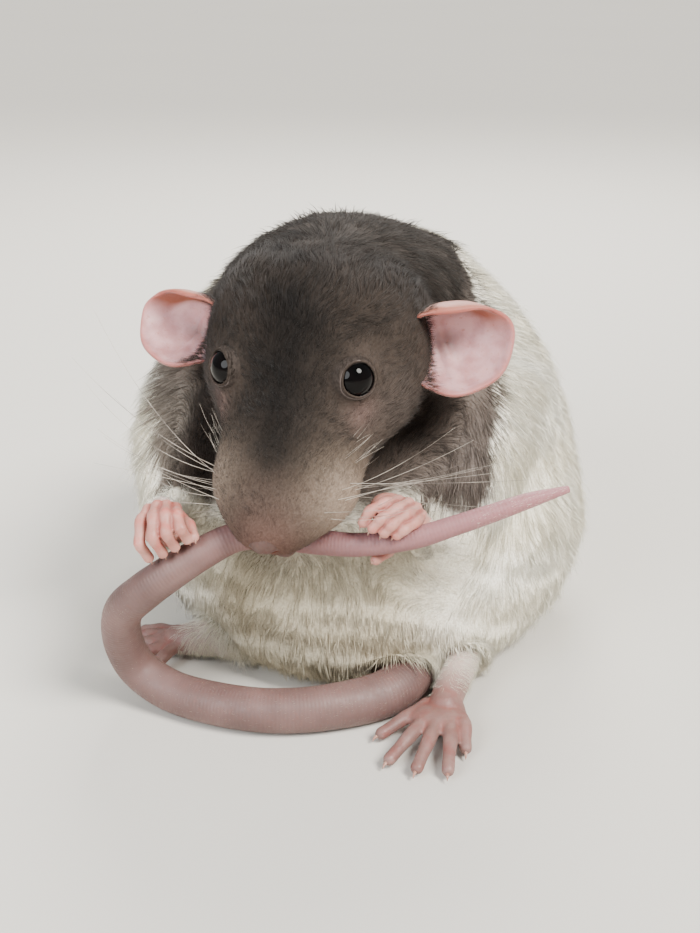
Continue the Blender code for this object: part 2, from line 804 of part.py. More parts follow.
LEFT_TOES = (
    ((12.0, -54.5, 3.6), (8.0, -57.6, 2.9), (3.6, -60.6, 1.5)),
    ((12.8, -56.5, 3.6), (8.8, -62.8, 3.0), (4.8, -68.2, 1.5)),
    ((14.0, -57.5, 3.6), (11.6, -64.8, 3.1), (9.3, -70.6, 1.5)),
    ((15.6, -57.0, 3.6), (15.2, -64.8, 3.1), (14.4, -71.2, 1.5)),
    ((17.0, -55.0, 3.4), (18.0, -60.6, 3.2), (17.8, -65.0, 1.5)),
)
RIGHT_TOES = (
    ((-34.2, -33.4, 3.2), (-36.4, -37.0, 2.8), (-38.2, -39.6, 1.5)),
    ((-35.2, -32.4, 3.2), (-39.0, -34.6, 2.8), (-42.6, -36.4, 1.5)),
    ((-35.6, -31.0, 3.2), (-40.2, -31.6, 2.9), (-44.6, -32.2, 1.5)),
    ((-35.4, -29.6, 3.2), (-40.0, -28.6, 2.9), (-44.4, -27.8, 1.5)),
    ((-34.6, -28.2, 3.2), (-38.2, -26.4, 2.8), (-41.8, -24.4, 1.5)),
)


def foot(name, paths):
    """A long narrow foot with five spread toes."""
    toes, claws = digits(paths, TOE_RADIUS)
    return flatten(clawed(name, masses(name) + toes, claws, 0.42, 450))


def cut_masses(obj, name):
    """Makes room in an object for the plain masses of another node."""
    for cutter in masses(name, GAP + 0.1, 12):
        boolean(obj, cutter, "DIFFERENCE")
        bpy.data.objects.remove(cutter)
    return largest(obj)


def part_the_skin():
    """The whole skin parted with thin cuts, by node name."""
    rest = flesh()
    fine = decimate(copied(rest), FINE_SKIN)
    coarse = decimate(rest, COARSE_SKIN)
    head, spare = split(fine, head_region())
    spare_head, rest = split(coarse, head_region())
    for unused in (spare, spare_head):
        bpy.data.objects.remove(unused)
    neck, rest = split(flatten(rest), neck_region())
    nodes = {"head": head, "neck": neck}
    for side, word in ((LEFT, "left"), (RIGHT, "right")):
        nodes[f"foreleg_{word}"], rest = split(rest, foreleg_region(side))
        nodes[f"thigh_{word}"], rest = split(rest, thigh_region(side))
    nodes["torso"] = rest
    return nodes


def add_face(nodes):
    """Jaw, lids, nose, eyes and ears."""
    nodes["jaw"] = joined("jaw", masses("jaw"), 0.6, 6, 360)
    cut_clear(nodes["head"], nodes["jaw"])
    add_lids(nodes["head"])
    add_nose(nodes["head"])
    for side, word in ((LEFT, "left"), (RIGHT, "right")):
        radii = (EYE_RADIUS,) * 3
        nodes[f"eye_{word}"] = ball((0, 0, 0), radii, frame=eye_frame(side), segments=14)
        nodes[f"ear_{word}"] = cut_clear(
            ear_mass(side), nodes["head"], nodes["neck"], by=GAP + 0.15
        )


def cut_back(nodes):
    """Cuts each piece of flesh back from the hands, feet and tail against it."""
    tail, plain_tail = whole_tail(), whole_tail(2, 8, 0.5)
    for name in ("head", "jaw", "foot_left", "hand_left", "hand_right"):
        largest(boolean(nodes[name], tail, "DIFFERENCE"))
    for name in ("torso", "thigh_left", "foreleg_left", "foreleg_right"):
        largest(boolean(nodes[name], plain_tail, "DIFFERENCE"))
    for cutter in (tail, plain_tail):
        bpy.data.objects.remove(cutter)
    for word in ("left", "right"):
        cut_masses(nodes[f"foreleg_{word}"], f"hand_{word}")
        cut_masses(nodes[f"thigh_{word}"], f"foot_{word}")
        cut_masses(nodes["torso"], f"foot_{word}")
    cut_masses(nodes["torso"], "jaw")


def material(name, colour, roughness):
    made = bpy.data.materials.new(name)
    made.use_nodes = True
    shader = made.node_tree.nodes["Principled BSDF"]
    shader.inputs["Base Color"].default_value = (*colour, 1.0)
    shader.inputs["Roughness"].default_value = roughness
    return made


def finish(nodes):
    """Names, smooth shading and a material for every node."""
    for name, obj in nodes.items():
        obj.name = obj.data.name = name
        triangulated(obj.data)
        colour, roughness = COLOURS[name.split("_")[0]]
        obj.data.materials.clear()
        obj.data.materials.append(material(name, colour, roughness))
        obj.data.shade_smooth()


def main():
    clear_scene()
    nodes = part_the_skin()
    add_face(nodes)
    nodes["hand_left"], nodes["hand_right"] = left_hand(), right_hand()
    nodes["foot_left"] = foot("foot_left", LEFT_TOES)
    nodes["foot_right"] = foot("foot_right", RIGHT_TOES)
    cut_back(nodes)
    for obj in tail_nodes():
        nodes[obj.name] = obj
    finish(nodes)


main()
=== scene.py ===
import math

import bmesh
import bpy
import numpy as np
from mathutils import Matrix, Vector
from mathutils.kdtree import KDTree


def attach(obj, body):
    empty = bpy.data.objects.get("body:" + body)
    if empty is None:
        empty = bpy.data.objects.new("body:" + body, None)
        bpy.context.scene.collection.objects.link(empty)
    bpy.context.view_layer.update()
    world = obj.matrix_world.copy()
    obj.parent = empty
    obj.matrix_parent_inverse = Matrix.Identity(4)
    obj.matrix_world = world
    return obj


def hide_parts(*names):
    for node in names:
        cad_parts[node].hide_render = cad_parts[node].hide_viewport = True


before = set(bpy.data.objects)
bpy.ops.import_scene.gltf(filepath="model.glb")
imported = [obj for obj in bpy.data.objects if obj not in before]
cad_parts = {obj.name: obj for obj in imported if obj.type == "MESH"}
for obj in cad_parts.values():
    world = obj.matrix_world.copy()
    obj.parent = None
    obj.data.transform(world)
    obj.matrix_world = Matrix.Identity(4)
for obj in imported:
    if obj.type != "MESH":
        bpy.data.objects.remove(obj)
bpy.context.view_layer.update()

MM = 0.001

# How the head is held: the point between the eyes, and its turns from facing -Y level
HEAD_AT = Vector((-10.4, -46.0, 61.6))
HEAD_YAW = math.radians(-16.0)
HEAD_PITCH = math.radians(45.0)

# The tail's route from its root to its tip, with its radius at each place
TAIL = (
    ((15.0, 36.0, 6.4), 5.3),
    ((15.0, 14.0, 5.2), 5.1),
    ((13.0, -8.0, 4.9), 4.9),
    ((11.5, -28.0, 4.7), 4.7),
    ((10.0, -43.0, 4.4), 4.4),
    ((5.0, -51.5, 4.1), 4.15),
    ((-5.0, -55.8, 3.9), 3.95),
    ((-15.0, -56.8, 3.8), 3.85),
    ((-24.5, -54.5, 3.7), 3.75),
    ((-33.0, -50.5, 3.9), 3.65),
    ((-39.0, -48.2, 7.2), 3.55),
    ((-41.0, -50.0, 14.0), 3.45),
    ((-40.0, -53.0, 21.0), 3.35),
    ((-36.0, -55.6, 26.0), 3.25),
    ((-31.0, -56.6, 30.2), 3.05),
    ((-25.6, -56.2, 33.6), 2.75),
    ((-20.0, -54.8, 35.8), 2.45),
    ((-13.8, -53.4, 35.2), 2.25),
    ((-5.7, -54.5, 34.6), 2.1),
    ((1.0, -56.0, 35.0), 1.95),
    ((9.0, -56.4, 36.4), 1.85),
    ((15.0, -56.0, 38.2), 1.7),
    ((21.5, -54.8, 40.0), 1.55),
    ((28.0, -53.2, 41.7), 1.3),
    ((34.5, -51.2, 42.8), 0.6),
)

LEFT, RIGHT = 1, -1
EYE_RADIUS = 3.5
EYE_OPENING = 2.75
EAR_LENGTH, EAR_WIDTH, EAR_DEPTH, EAR_THICKNESS = 20.2, 17.6, 5.5, 0.7
FINGER_RADIUS, TOE_RADIUS = 1.0, 1.25
CLAW_LENGTH = 1.1
SKIN_VOXEL = 0.7
FLESH_GROWTH = 0.34            # closes the gap between the CAD nodes of flesh
TAIL_SIDES = 28

# The skin's material slots, in the order of flesh_materials()
BODY, EAR, HAND, TAIL_SKIN, LID, NOSE, FOOT = range(7)

BODY_HAIRS, GUARD_HAIRS, HEAD_HAIRS = 42000, 14000, 46000
LIMB_HAIRS, TAIL_HAIRS, EAR_HAIRS = 4000, 9000, 4500


def head_matrix():
    """The head's frame: x to its left, y to the nose, z to the crown."""
    faces = Matrix(((1, 0, 0), (0, -1, 0), (0, 0, 1)))
    nod = Matrix.Rotation(HEAD_PITCH, 3, "X")
    turn = Matrix.Rotation(HEAD_YAW, 3, "Z") @ nod @ faces
    return Matrix.Translation(HEAD_AT) @ turn.to_4x4()


HEAD = head_matrix()
HEAD_INV = HEAD.inverted()


def eye_place(side):
    """The middle of an eye in the head's own frame."""
    return (10.3 * side, 1.2, 1.6)


def turns(count):
    """Angles evenly round a circle."""
    return [2 * math.pi * i / count for i in range(count)]


def spline(rows, steps):
    """Rows of numbers with a smooth run of steps rows between each pair of them."""
    ends = [rows[0], *rows, rows[-1]]
    made = []
    for before, start, stop, after in zip(ends, ends[1:], ends[2:], ends[3:]):
        for i in range(steps):
            t = i / steps
            made.append(
                tuple(
                    0.5
                    * (2 * b + (c - a) * t + (2 * a - 5 * b + 4 * c - d) * t * t
                       + (3 * b - a - 3 * c + d) * t ** 3)
                    for a, b, c, d in zip(before, start, stop, after)
                )
            )
    return [*made, tuple(rows[-1])]


# Meshes


def new_object(name, bm):
    """The bmesh as an object in the scene, with its faces outwards."""
    mesh = bpy.data.meshes.new(name)
    bmesh.ops.recalc_face_normals(bm, faces=bm.faces)
    bm.to_mesh(mesh)
    bm.free()
    obj = bpy.data.objects.new(name, mesh)
    bpy.context.scene.collection.objects.link(obj)
    mesh.shade_smooth()
    return obj


def loft(name, rings, frame_of=None):
    """A closed skin over a row of sections, in millimetres."""
    bm = bmesh.new()
    place = frame_of or Matrix.Identity(4)
    made = [[bm.verts.new(place @ point * MM) for point in ring] for ring in rings]
    for lower, upper in zip(made, made[1:]):
        for i, corner in enumerate(lower):
            j = (i + 1) % len(lower)
            bm.faces.new((corner, lower[j], upper[j], upper[i]))
    bm.faces.new(made[0][::-1])
    bm.faces.new(made[-1])
    return new_object(name, bm)


def tube_rings(points, radii, sides):
    """Round sections square to a line of points, and the line's way at each."""
    points = [Vector(p) for p in points]
    rings, ways, side = [], [], None
    for i, point in enumerate(points):
        way = (points[min(i + 1, len(points) - 1)] - points[max(i - 1, 0)]).normalized()
        if side is None:
            side = way.orthogonal().normalized()
        side = (side - way * side.dot(way)).normalized()
        other = way.cross(side)
        rings.append([point + radii[i] * (side * math.cos(a) + other * math.sin(a))
                      for a in turns(sides)])
        ways.append(way)
    return rings, ways


def tube(name, points, radii, sides=12):
    return loft(name, tube_rings(points, radii, sides)[0])


def limb(name, joints, steps=5, sides=16):
    """A tapered tube through (place, radius) joints, with round ends."""
    rows = spline([(*place, radius) for place, radius in joints], steps)
    points = [Vector(row[:3]) for row in rows]
    radii = [row[3] for row in rows]
    first = (points[0] - points[1]).normalized()
    last = (points[-1] - points[-2]).normalized()
    for share in (0.55, 0.9):
        points.insert(0, points[0] + first * radii[0] * share * 0.5)
        radii.insert(0, radii[0] * math.sqrt(1 - share * share * 0.9))
        points.append(points[-1] + last * radii[-1] * share * 0.5)
        radii.append(radii[-1] * math.sqrt(1 - share * share * 0.9))
    return tube(name, points, radii, sides)


def ball(centre, radii, turn=(0, 0, 0), frame_of=None, segments=32):
    """An egg shape at its place, in millimetres and degrees."""
    bm = bmesh.new()
    spin = [Matrix.Rotation(math.radians(a), 4, n) for a, n in zip(turn, "XYZ")]
    place = (Matrix.Scale(MM, 4) @ (frame_of or Matrix.Identity(4))
             @ Matrix.Translation(centre) @ spin[2] @ spin[1] @ spin[0]
             @ Matrix.Diagonal((*radii, 1.0)))
    bmesh.ops.create_uvsphere(bm, u_segments=segments, v_segments=segments // 2,
                              radius=1.0, matrix=place)
    return new_object("ball", bm)


def apply_modifiers(obj):
    """The object with its modifiers made part of its mesh."""
    graph = bpy.context.evaluated_depsgraph_get()
    mesh = bpy.data.meshes.new_from_object(obj.evaluated_get(graph))
    obj.modifiers.clear()
    obj.data = mesh
    return obj


def join(name, objects):
    """Several objects as one, in the order given."""
    bm = bmesh.new()
    for obj in objects:
        bm.from_mesh(obj.data)
        bpy.data.objects.remove(obj)
    return new_object(name, bm)


def remesh(obj, voxel):
    modifier = obj.modifiers.new("remesh", "REMESH")
    modifier.mode = "VOXEL"
    modifier.voxel_size = voxel * MM
    modifier.use_smooth_shade = True
    return apply_modifiers(obj)


def smooth(obj, rounds, factor=0.5):
    modifier = obj.modifiers.new("smooth", "SMOOTH")
    modifier.factor = factor
    modifier.iterations = rounds
    return apply_modifiers(obj)


def smooth_where(obj, weight, rounds):
    """Smooths only where weight, one number for each vertex, is above nought."""
    group = obj.vertex_groups.new(name="soft")
    for i in np.nonzero(weight > 0.02)[0].tolist():
        group.add([i], float(weight[i]), "REPLACE")
    modifier = obj.modifiers.new("smooth", "SMOOTH")
    modifier.factor = 0.5
    modifier.iterations = rounds
    modifier.vertex_group = "soft"
    apply_modifiers(obj)
    obj.vertex_groups.clear()
    return obj


def boolean(obj, other, operation, solver="EXACT"):
    """Joins or cuts an object with another one, which is used up."""
    modifier = obj.modifiers.new("boolean", "BOOLEAN")
    modifier.object = other
    modifier.operation = operation
    modifier.solver = solver
    apply_modifiers(obj)
    bpy.data.objects.remove(other)
    return obj


def coords(mesh):
    co = np.empty(len(mesh.vertices) * 3)
    mesh.vertices.foreach_get("co", co)
    return co.reshape(-1, 3)


def normals_of(mesh):
    no = np.empty(len(mesh.vertices) * 3)
    mesh.vertices.foreach_get("normal", no)
    return no.reshape(-1, 3)


def set_coords(mesh, co):
    mesh.vertices.foreach_set("co", co.ravel())
    mesh.update()


def set_attribute(mesh, name, values):
    layer = mesh.attributes.get(name) or mesh.attributes.new(name, "FLOAT", "POINT")
    layer.data.foreach_set("value", np.asarray(values, dtype=np.float32))


def set_colours(mesh, rgb):
    """The coat's colour on each vertex."""
    layer = mesh.attributes.new("coat", "FLOAT_COLOR", "POINT")
    rgba = np.concatenate([rgb, np.ones((len(rgb), 1))], axis=1)
    layer.data.foreach_set("color", rgba.ravel().astype(np.float32))


# Fields over the body: places in millimetres, one value for each


def unit(v):
    return v / np.maximum(np.linalg.norm(v, axis=-1, keepdims=True), 1e-9)


def step(low, high, x):
    t = np.clip((x - low) / (high - low), 0, 1)
    return t * t * (3 - 2 * t)


def head_frame(p):
    """Places in the head's own frame: x left, y nose, z crown."""
    m = np.array(HEAD_INV)
    return p @ m[:3, :3].T + m[:3, 3]


def noise(p, size, seed=0):
    """Smooth value noise in -1 to 1, seeded, from a sum of waves."""
    draw = np.random.default_rng(seed)
    total = np.zeros(len(p))
    for _ in range(10):
        way = unit(draw.normal(size=3))
        total += np.sin(p @ way * (2 * math.pi / size) * draw.uniform(0.6, 1.5)
                        + draw.uniform(0, 2 * math.pi))
    return total / 3.2


def near(p, place, reach):
    return np.exp(-((np.linalg.norm(p - np.array(place), axis=1) / reach) ** 2))


FORELEGS = {
    LEFT: ((24.0, -20.0, 48.0), (22.0, -32.0, 39.0), (17.0, -41.5, 26.5), (12.5, -47.5, 30.0),
           (8.6, -50.2, 36.5)),
    RIGHT: ((-29.0, -17.0, 47.0), (-33.0, -29.0, 41.0), (-34.0, -38.0, 32.0),
            (-34.0, -44.0, 33.5), (-33.2, -48.4, 36.6)),
}


def along_foreleg(p, side):
    """How near each place is to a foreleg's line, its way there, and how far down it."""
    rows = np.array(FORELEGS[side])
    best = np.full(len(p), 1e9)
    way = np.zeros_like(p)
    share = np.zeros(len(p))
    for i, (a, b) in enumerate(zip(rows, rows[1:])):
        d = b - a
        t = np.clip(((p - a) @ d) / (d @ d), 0, 1)
        gap = np.linalg.norm(p - a - t[:, None] * d, axis=1)
        closer = gap < best
        best[closer] = gap[closer]
        way[closer] = d / np.linalg.norm(d)
        share[closer] = (i + t[closer]) / (len(rows) - 1)
    return best, way, share


def is_head(p):
    """1 on the head and fading out over the nape and throat."""
    h = head_frame(p)
    inside = step(-27, -17, h[:, 1]) * step(-27, -22, h[:, 2])
    return inside * step(25, 21, np.abs(h[:, 0]))


def hood(p):
    """1 where the coat is grey-brown, 0 where it is white."""
    x, y, z = p.T
    ragged = 1.3 * noise(p, 9.0, 3) + 0.7 * noise(p, 3.5, 4)
    # a cape over head, nape and shoulders that ends in a narrow stripe down the back
    oval = ((x + 6.3) / 30.0) ** 2 + ((y + 25) / 60) ** 2 + ((z - 52) / 60) ** 2
    cape = step(1.05, 0.97, oval + 0.03 * ragged)
    cape = cape * step(12.5, 10.0, y + 0.01 * (x + 6) ** 2 + ragged)
    cape = cape * step(33.0, 36.5, z + 0.8 * ragged)
    stripe = step(6.2, 4.6, np.abs(x - 5.0 + 0.06 * y + 0.6 * ragged)) * step(52, 40, y)
    stripe = stripe * step(22, 34, z) * step(-10, 0, y)
    dark = np.maximum(np.maximum(cape, stripe), is_head(p))
    for side in (LEFT, RIGHT):
        gap, _, share = along_foreleg(p, side)
        dark = dark * (1 - step(12, 9, gap) * step(0.42, 0.50, share + 0.01 * ragged))
    return dark


def srgb(r, g, b):
    """Linear colour from 0 to 255 display values."""
    c = np.array((r, g, b)) / 255.0
    return np.where(c <= 0.04045, c / 12.92, ((c + 0.055) / 1.055) ** 2.4)


def blend(a, b, t):
    return a + (b - a) * np.clip(t, 0, 1)[:, None]


def coat_colour(p, tone):
    """The coat's colour at each place. tone, about -1 to 1, varies it hair by hair."""
    h = head_frame(p)
    count = len(p)
    mask = is_head(p)
    mottle = 0.5 + 0.5 * noise(p, 11.0, 8)
    body = blend(np.tile(srgb(122, 112, 105), (count, 1)), srgb(97, 88, 82), mottle)
    # painted shade: the body's grey darkens toward the top of the back
    body = blend(body, srgb(47, 43, 40), 0.85 * step(52, 70, p[:, 2]))
    # painted light: a paler patch on the rat's right shoulder, which lies in the key light's shade
    body = blend(body, srgb(156, 146, 134), 0.75 * near(p, (-33.0, -30.0, 46.0), 13.0))
    # the head's grey is darker than the body's: partly the coat's own colour, partly painted shade
    head = blend(np.tile(srgb(70, 61, 55), (count, 1)), srgb(54, 47, 42), mottle)
    # painted shade: darker still over the crown, toward the back of the head
    head = blend(head, srgb(46, 41, 38), 0.85 * step(-6, -20, h[:, 1]))
    grey = head * mask[:, None] + body * (1 - mask[:, None])
    middle = np.exp(-((h[:, 0] / (8.0 - 0.12 * h[:, 1])) ** 2)) * step(-22, -6, h[:, 1]) * mask
    grey = blend(grey, srgb(21, 18, 16), 0.92 * middle * step(27, 14, h[:, 1]))
    muzzle = step(15, 27, h[:, 1] + 0.8 * noise(p, 5.0, 5)) * mask
    grey = blend(grey, srgb(80, 65, 58), 0.7 * muzzle)
    for side in (LEFT, RIGHT):
        pad = near(h, (10.0 * side, 18.5, -7.5), 6.5) * mask
        grey = blend(grey, srgb(160, 142, 126), 0.95 * pad)
        cheek = near(h, (14.0 * side, 2.0, -6.0), 6.0) * mask
        grey = blend(grey, srgb(104, 93, 87), 0.6 * cheek)
        below = near(h, (12.8 * side, 6.4, -1.6), 2.6) * mask
        grey = blend(grey, srgb(132, 108, 102), 0.55 * below)
    tip = near(h, (0.0, 28.5, -6.5), 5.0) * mask
    grey = blend(grey, srgb(112, 82, 73), 0.85 * tip)
    white = np.tile(srgb(252, 249, 237), (count, 1))
    white = blend(white, srgb(246, 241, 222), 0.4 + 0.4 * noise(p, 16.0, 9))
    # the belly's darker cream: partly the fur's own tint, partly painted shade under the head and
    # tail
    belly = step(-30, -44, p[:, 1]) * step(40, 26, p[:, 2]) * step(22, 4, p[:, 0])
    white = blend(white, srgb(184, 172, 144), 0.8 * belly)
    capped = hood(p)
    made = blend(white, grey, capped)
    return np.clip(made * (1 + (0.04 + 0.14 * capped) * tone)[:, None], 0.0, 0.97)


def coat_depth(p):
    """How far under the tips of the coat the skin lies."""
    h = head_frame(p)
    mask = is_head(p)
    on_head = 0.9 - 0.6 * step(-2, 20, h[:, 1])
    depth = 1.4 * (1 - mask) + on_head * mask
    for side in (LEFT, RIGHT):
        gap, _, share = along_foreleg(p, side)
        arm = step(13, 8, gap) * step(0.35, 0.9, share)
        depth = depth * (1 - arm) + 0.6 * arm
        depth = depth - 0.9 * near(h, eye_place(side), 5.0) * mask
        depth = depth - 0.4 * near(h, (17.0 * side, -11.0, 0.0), 6.0) * mask
    return np.maximum(depth, 0.1)


def lie(p, n):
    """The way the hairs point at each place, flat on the skin."""
    h = head_frame(p)
    axes = np.array(HEAD)[:3, :3]
    mask = is_head(p)[:, None]
    body = unit(p - np.array((-4.0, -36.0, 78.0))) + np.array((0.0, 0.25, -0.75))
    back = np.stack([0.030 * h[:, 0], -np.ones(len(p)), -0.10 - 0.25 * step(0, -14, h[:, 2])], 1)
    way = unit(body) * (1 - mask) + unit(back @ axes.T) * mask
    for side in (LEFT, RIGHT):
        gap, along, share = along_foreleg(p, side)
        arm = (step(13, 7, gap) * step(0.15, 0.5, share))[:, None] * (1 - mask)
        way = way * (1 - arm) + along * arm
    swirl = (0.42 * noise(p, 10.0, 11) + 0.22 * noise(p, 4.0, 12)) * (0.32 + 0.68 * is_head(p))
    way = unit(way - n * np.sum(way * n, axis=1, keepdims=True))
    side_way = np.cross(n, way)
    return unit(way * np.cos(swirl)[:, None] + side_way * np.sin(swirl)[:, None])


# The skin


FLESH = ("torso", "neck", "head", "jaw", "foreleg_left", "foreleg_right",
         "thigh_left", "thigh_right")


def flesh_copy(name):
    """A CAD node's mesh, merged and grown enough to close the gap to its neighbours."""
    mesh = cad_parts[name].data.copy()
    bm = bmesh.new()
    bm.from_mesh(mesh)
    bmesh.ops.remove_doubles(bm, verts=bm.verts, dist=0.000001)
    bm.normal_update()
    for v, move in [(v, v.normal * FLESH_GROWTH * MM) for v in bm.verts]:
        v.co += move
    return new_object(name + "_copy", bm)


def belly_folds(p):
    """Soft folds across the belly and creases behind the cheek, as a push outwards."""
    x, y, z = p.T
    front = step(-24, -38, y) * step(34, 26, z)
    push = np.zeros(len(p))
    for level, tilt, bow, deep in ((12.0, 0.05, 0.006, 0.20), (21.0, -0.04, 0.008, 0.28),
                                   (29.0, -0.05, 0.006, 0.18)):
        line = z - level - tilt * x + bow * (x + 4) ** 2 - 1.6 * noise(p, 26.0, int(level))
        push -= deep * np.exp(-((line / 1.9) ** 2))
        push += 0.4 * deep * np.exp(-(((line - 3.4) / 2.4) ** 2))
    push = push * front
    for place, reach in (((20.0, -33.0, 40.0), 3.0), ((-25.0, -36.0, 38.0), 2.5)):
        push -= 0.8 * near(p, place, reach)
    return push + 0.2 * noise(p, 13.0, 21)


def body_skin():
    """One skin for trunk, neck, head, jaw, forelegs and thighs."""
    whole = remesh(join("body", [flesh_copy(name) for name in FLESH]), SKIN_VOXEL)
    smooth(whole, 7)
    p = coords(whole.data) / MM
    n = normals_of(whole.data)
    push = belly_folds(p) * (1 - is_head(p)) - coat_depth(p) - FLESH_GROWTH
    h = head_frame(p)
    for side in (LEFT, RIGHT):
        push += 0.6 * near(h, (9.5 * side, 20.5, -10.0), 6.0) * is_head(p)
    moved = p + n * push[:, None]
    moved[:, 2] = np.where(p[:, 2] < 1.5, np.maximum(moved[:, 2], 0.05), moved[:, 2])
    set_coords(whole.data, moved * MM)
    nape = step(-34, -24, h[:, 1]) * step(-6, -14, h[:, 1]) * step(-8, 2, h[:, 2])
    smooth(whole, 3)
    return smooth_where(whole, nape, 40)


def tail_skin():
    """The tail as one smooth tube, flat where it would run into the floor."""
    rows = spline([(*place, radius) for place, radius in TAIL], 12)
    points, radii = [Vector(r[:3]) for r in rows], [r[3] for r in rows]
    obj = tube("tail", points, radii, TAIL_SIDES)
    p = coords(obj.data)
    p[:, 2] = np.maximum(p[:, 2], 0.0)
    set_coords(obj.data, p)
    return obj


def claw(tip, before, reach):
    """A small hooked claw, in proportion to its finger or toe."""
    tip, before = Vector(tip), Vector(before)
    along = (tip - before).normalized()
    size = reach / TOE_RADIUS
    root = tip + along * reach * 0.45
    points = [root + along * CLAW_LENGTH * size ** 3 * t
              + Vector((0, 0, 0.2 * math.sin(3 * t) - 0.4 * t * t)) * size
              for t in (0.0, 0.3, 0.6, 0.85, 1.0)]
    return tube("claw", points, [w * size for w in (0.32, 0.30, 0.22, 0.12, 0.05)], 10)


def digits(paths, radius):
    """Fingers or toes with knuckles, and their claws."""
    flesh_parts, claws = [], []
    for path in paths:
        path = [Vector(p) for p in path]
        joints = []
        last = len(path) - 1
        for i, p in enumerate(path):
            joints.append((p, radius * (1.14 - 0.20 * i / last)))
            if i < last:
                joints.append(((p + path[i + 1]) / 2, radius * (0.96 - 0.12 * i / last)))
        flesh_parts.append(limb("digit", joints, steps=3, sides=14))
        claws.append(claw(path[-1], path[-2], radius))
    return flesh_parts, claws


# Each finger's route over the back of the fist, with the thumb last
FINGERS = {
    RIGHT: (
        ((-34.5, -53.0, 40.0), (-35.3, -57.0, 39.6), (-35.3, -59.6, 36.8), (-34.0, -58.8, 33.8)),
        ((-33.0, -53.4, 40.8), (-33.1, -58.0, 40.8), (-32.9, -60.6, 38.2), (-31.6, -59.4, 34.9)),
        ((-31.5, -53.4, 40.8), (-31.1, -58.0, 41.2), (-30.7, -60.6, 39.0), (-29.6, -59.4, 36.0)),
        ((-30.2, -53.0, 40.2), (-29.3, -57.6, 41.0), (-28.5, -60.2, 39.8), (-27.6, -59.0, 37.2)),
        ((-29.2, -52.6, 38.0), (-27.6, -56.2, 38.6), (-26.6, -58.6, 37.4)),
    ),
    LEFT: (
        ((6.6, -52.4, 41.2), (4.3, -55.0, 42.0), (1.7, -57.0, 41.4), (0.5, -57.4, 39.4)),
        ((8.2, -52.4, 40.8), (6.3, -56.0, 41.4), (3.5, -58.4, 40.6), (2.0, -58.6, 38.9)),
        ((9.4, -52.2, 39.9), (7.8, -56.4, 40.6), (5.3, -58.8, 39.8), (3.9, -58.8, 38.2)),
        ((10.2, -52.2, 38.6), (9.1, -56.4, 39.2), (7.1, -58.6, 38.8), (5.9, -58.6, 37.8)),
        ((7.4, -51.8, 35.8), (5.0, -53.4, 32.6), (2.6, -56.2, 32.2)),
    ),
}
PALMS = {
    RIGHT: ((-32.2, -53.2, 37.2), (4.2, 3.0, 3.8), (0, 0, 0)),
    LEFT: ((6.2, -53.0, 39.0), (4.8, 3.4, 3.1), (0, 30, -8)),
}
WEBS = {
    RIGHT: ((-31.8, -56.0, 37.6), (2.6, 2.2, 2.4), (0, 0, 0)),
    LEFT: ((4.8, -54.8, 39.6), (2.6, 2.0, 2.0), (0, 0, 0)),
}
WRISTS = {
    RIGHT: (((-33.4, -43.6, 34.4), 3.0), ((-33.4, -46.6, 36.4), 2.9), ((-32.8, -52.0, 37.2), 2.9)),
    LEFT: (((12.0, -46.4, 31.0), 3.0), ((10.0, -48.6, 34.6), 2.8), ((7.8, -51.4, 38.2), 2.7)),
}


def hand(side):
    """The flesh of a fist, and its claws."""
    fingers, claws = digits(FINGERS[side], FINGER_RADIUS)
    web = ball(*WEBS[side])
    return [ball(*PALMS[side]), web, limb("wrist", WRISTS[side]), *fingers], claws


TOES = {
    LEFT: (
        ((12.0, -54.5, 3.6), (8.0, -57.6, 2.9), (3.6, -60.6, 1.5)),
        ((12.8, -56.5, 3.6), (8.8, -62.8, 3.0), (4.8, -68.2, 1.5)),
        ((14.0, -57.5, 3.6), (11.6, -64.8, 3.1), (9.3, -70.6, 1.5)),
        ((15.6, -57.0, 3.6), (15.2, -64.8, 3.1), (14.4, -71.2, 1.5)),
        ((17.0, -55.0, 3.4), (18.0, -60.6, 3.2), (17.8, -65.0, 1.5)),
    ),
    RIGHT: (
        ((-34.2, -33.4, 3.2), (-36.4, -37.0, 2.8), (-38.2, -39.6, 1.5)),
        ((-35.2, -32.4, 3.2), (-39.0, -34.6, 2.8), (-42.6, -36.4, 1.5)),
        ((-35.6, -31.0, 3.2), (-40.2, -31.6, 2.9), (-44.6, -32.2, 1.5)),
        ((-35.4, -29.6, 3.2), (-40.0, -28.6, 2.9), (-44.4, -27.8, 1.5)),
        ((-34.6, -28.2, 3.2), (-38.2, -26.4, 2.8), (-41.8, -24.4, 1.5)),
    ),
}
SOLES = {
    LEFT: (((19.0, -38.0, 5.4), 4.0), ((17.8, -46.0, 5.4), 3.2), ((16.0, -51.5, 4.4), 2.9),
           ((14.6, -56.0, 3.4), 2.9)),
    RIGHT: (((-22.0, -33.0, 4.6), 4.0), ((-28.0, -32.4, 4.4), 3.6),
            ((-33.0, -31.4, 3.4), 3.0), ((-35.0, -31.0, 3.2), 2.8)),
}
KNUCKLES = {
    LEFT: ((13.6, -58.0, 2.9), (5.1, 4.1, 2.2), (0, 0, 0)),
    RIGHT: ((-36.6, -31.0, 2.7), (2.7, 3.5, 2.0), (0, 0, 0)),
}


def fused(name, parts, voxel, rounds):
    """Masses of flesh melted into one skin that stays above the floor."""
    obj = smooth(remesh(join(name, parts), voxel), rounds)
    p = coords(obj.data)
    p[:, 2] = np.maximum(p[:, 2], 0.0)
    set_coords(obj.data, p)
    return obj


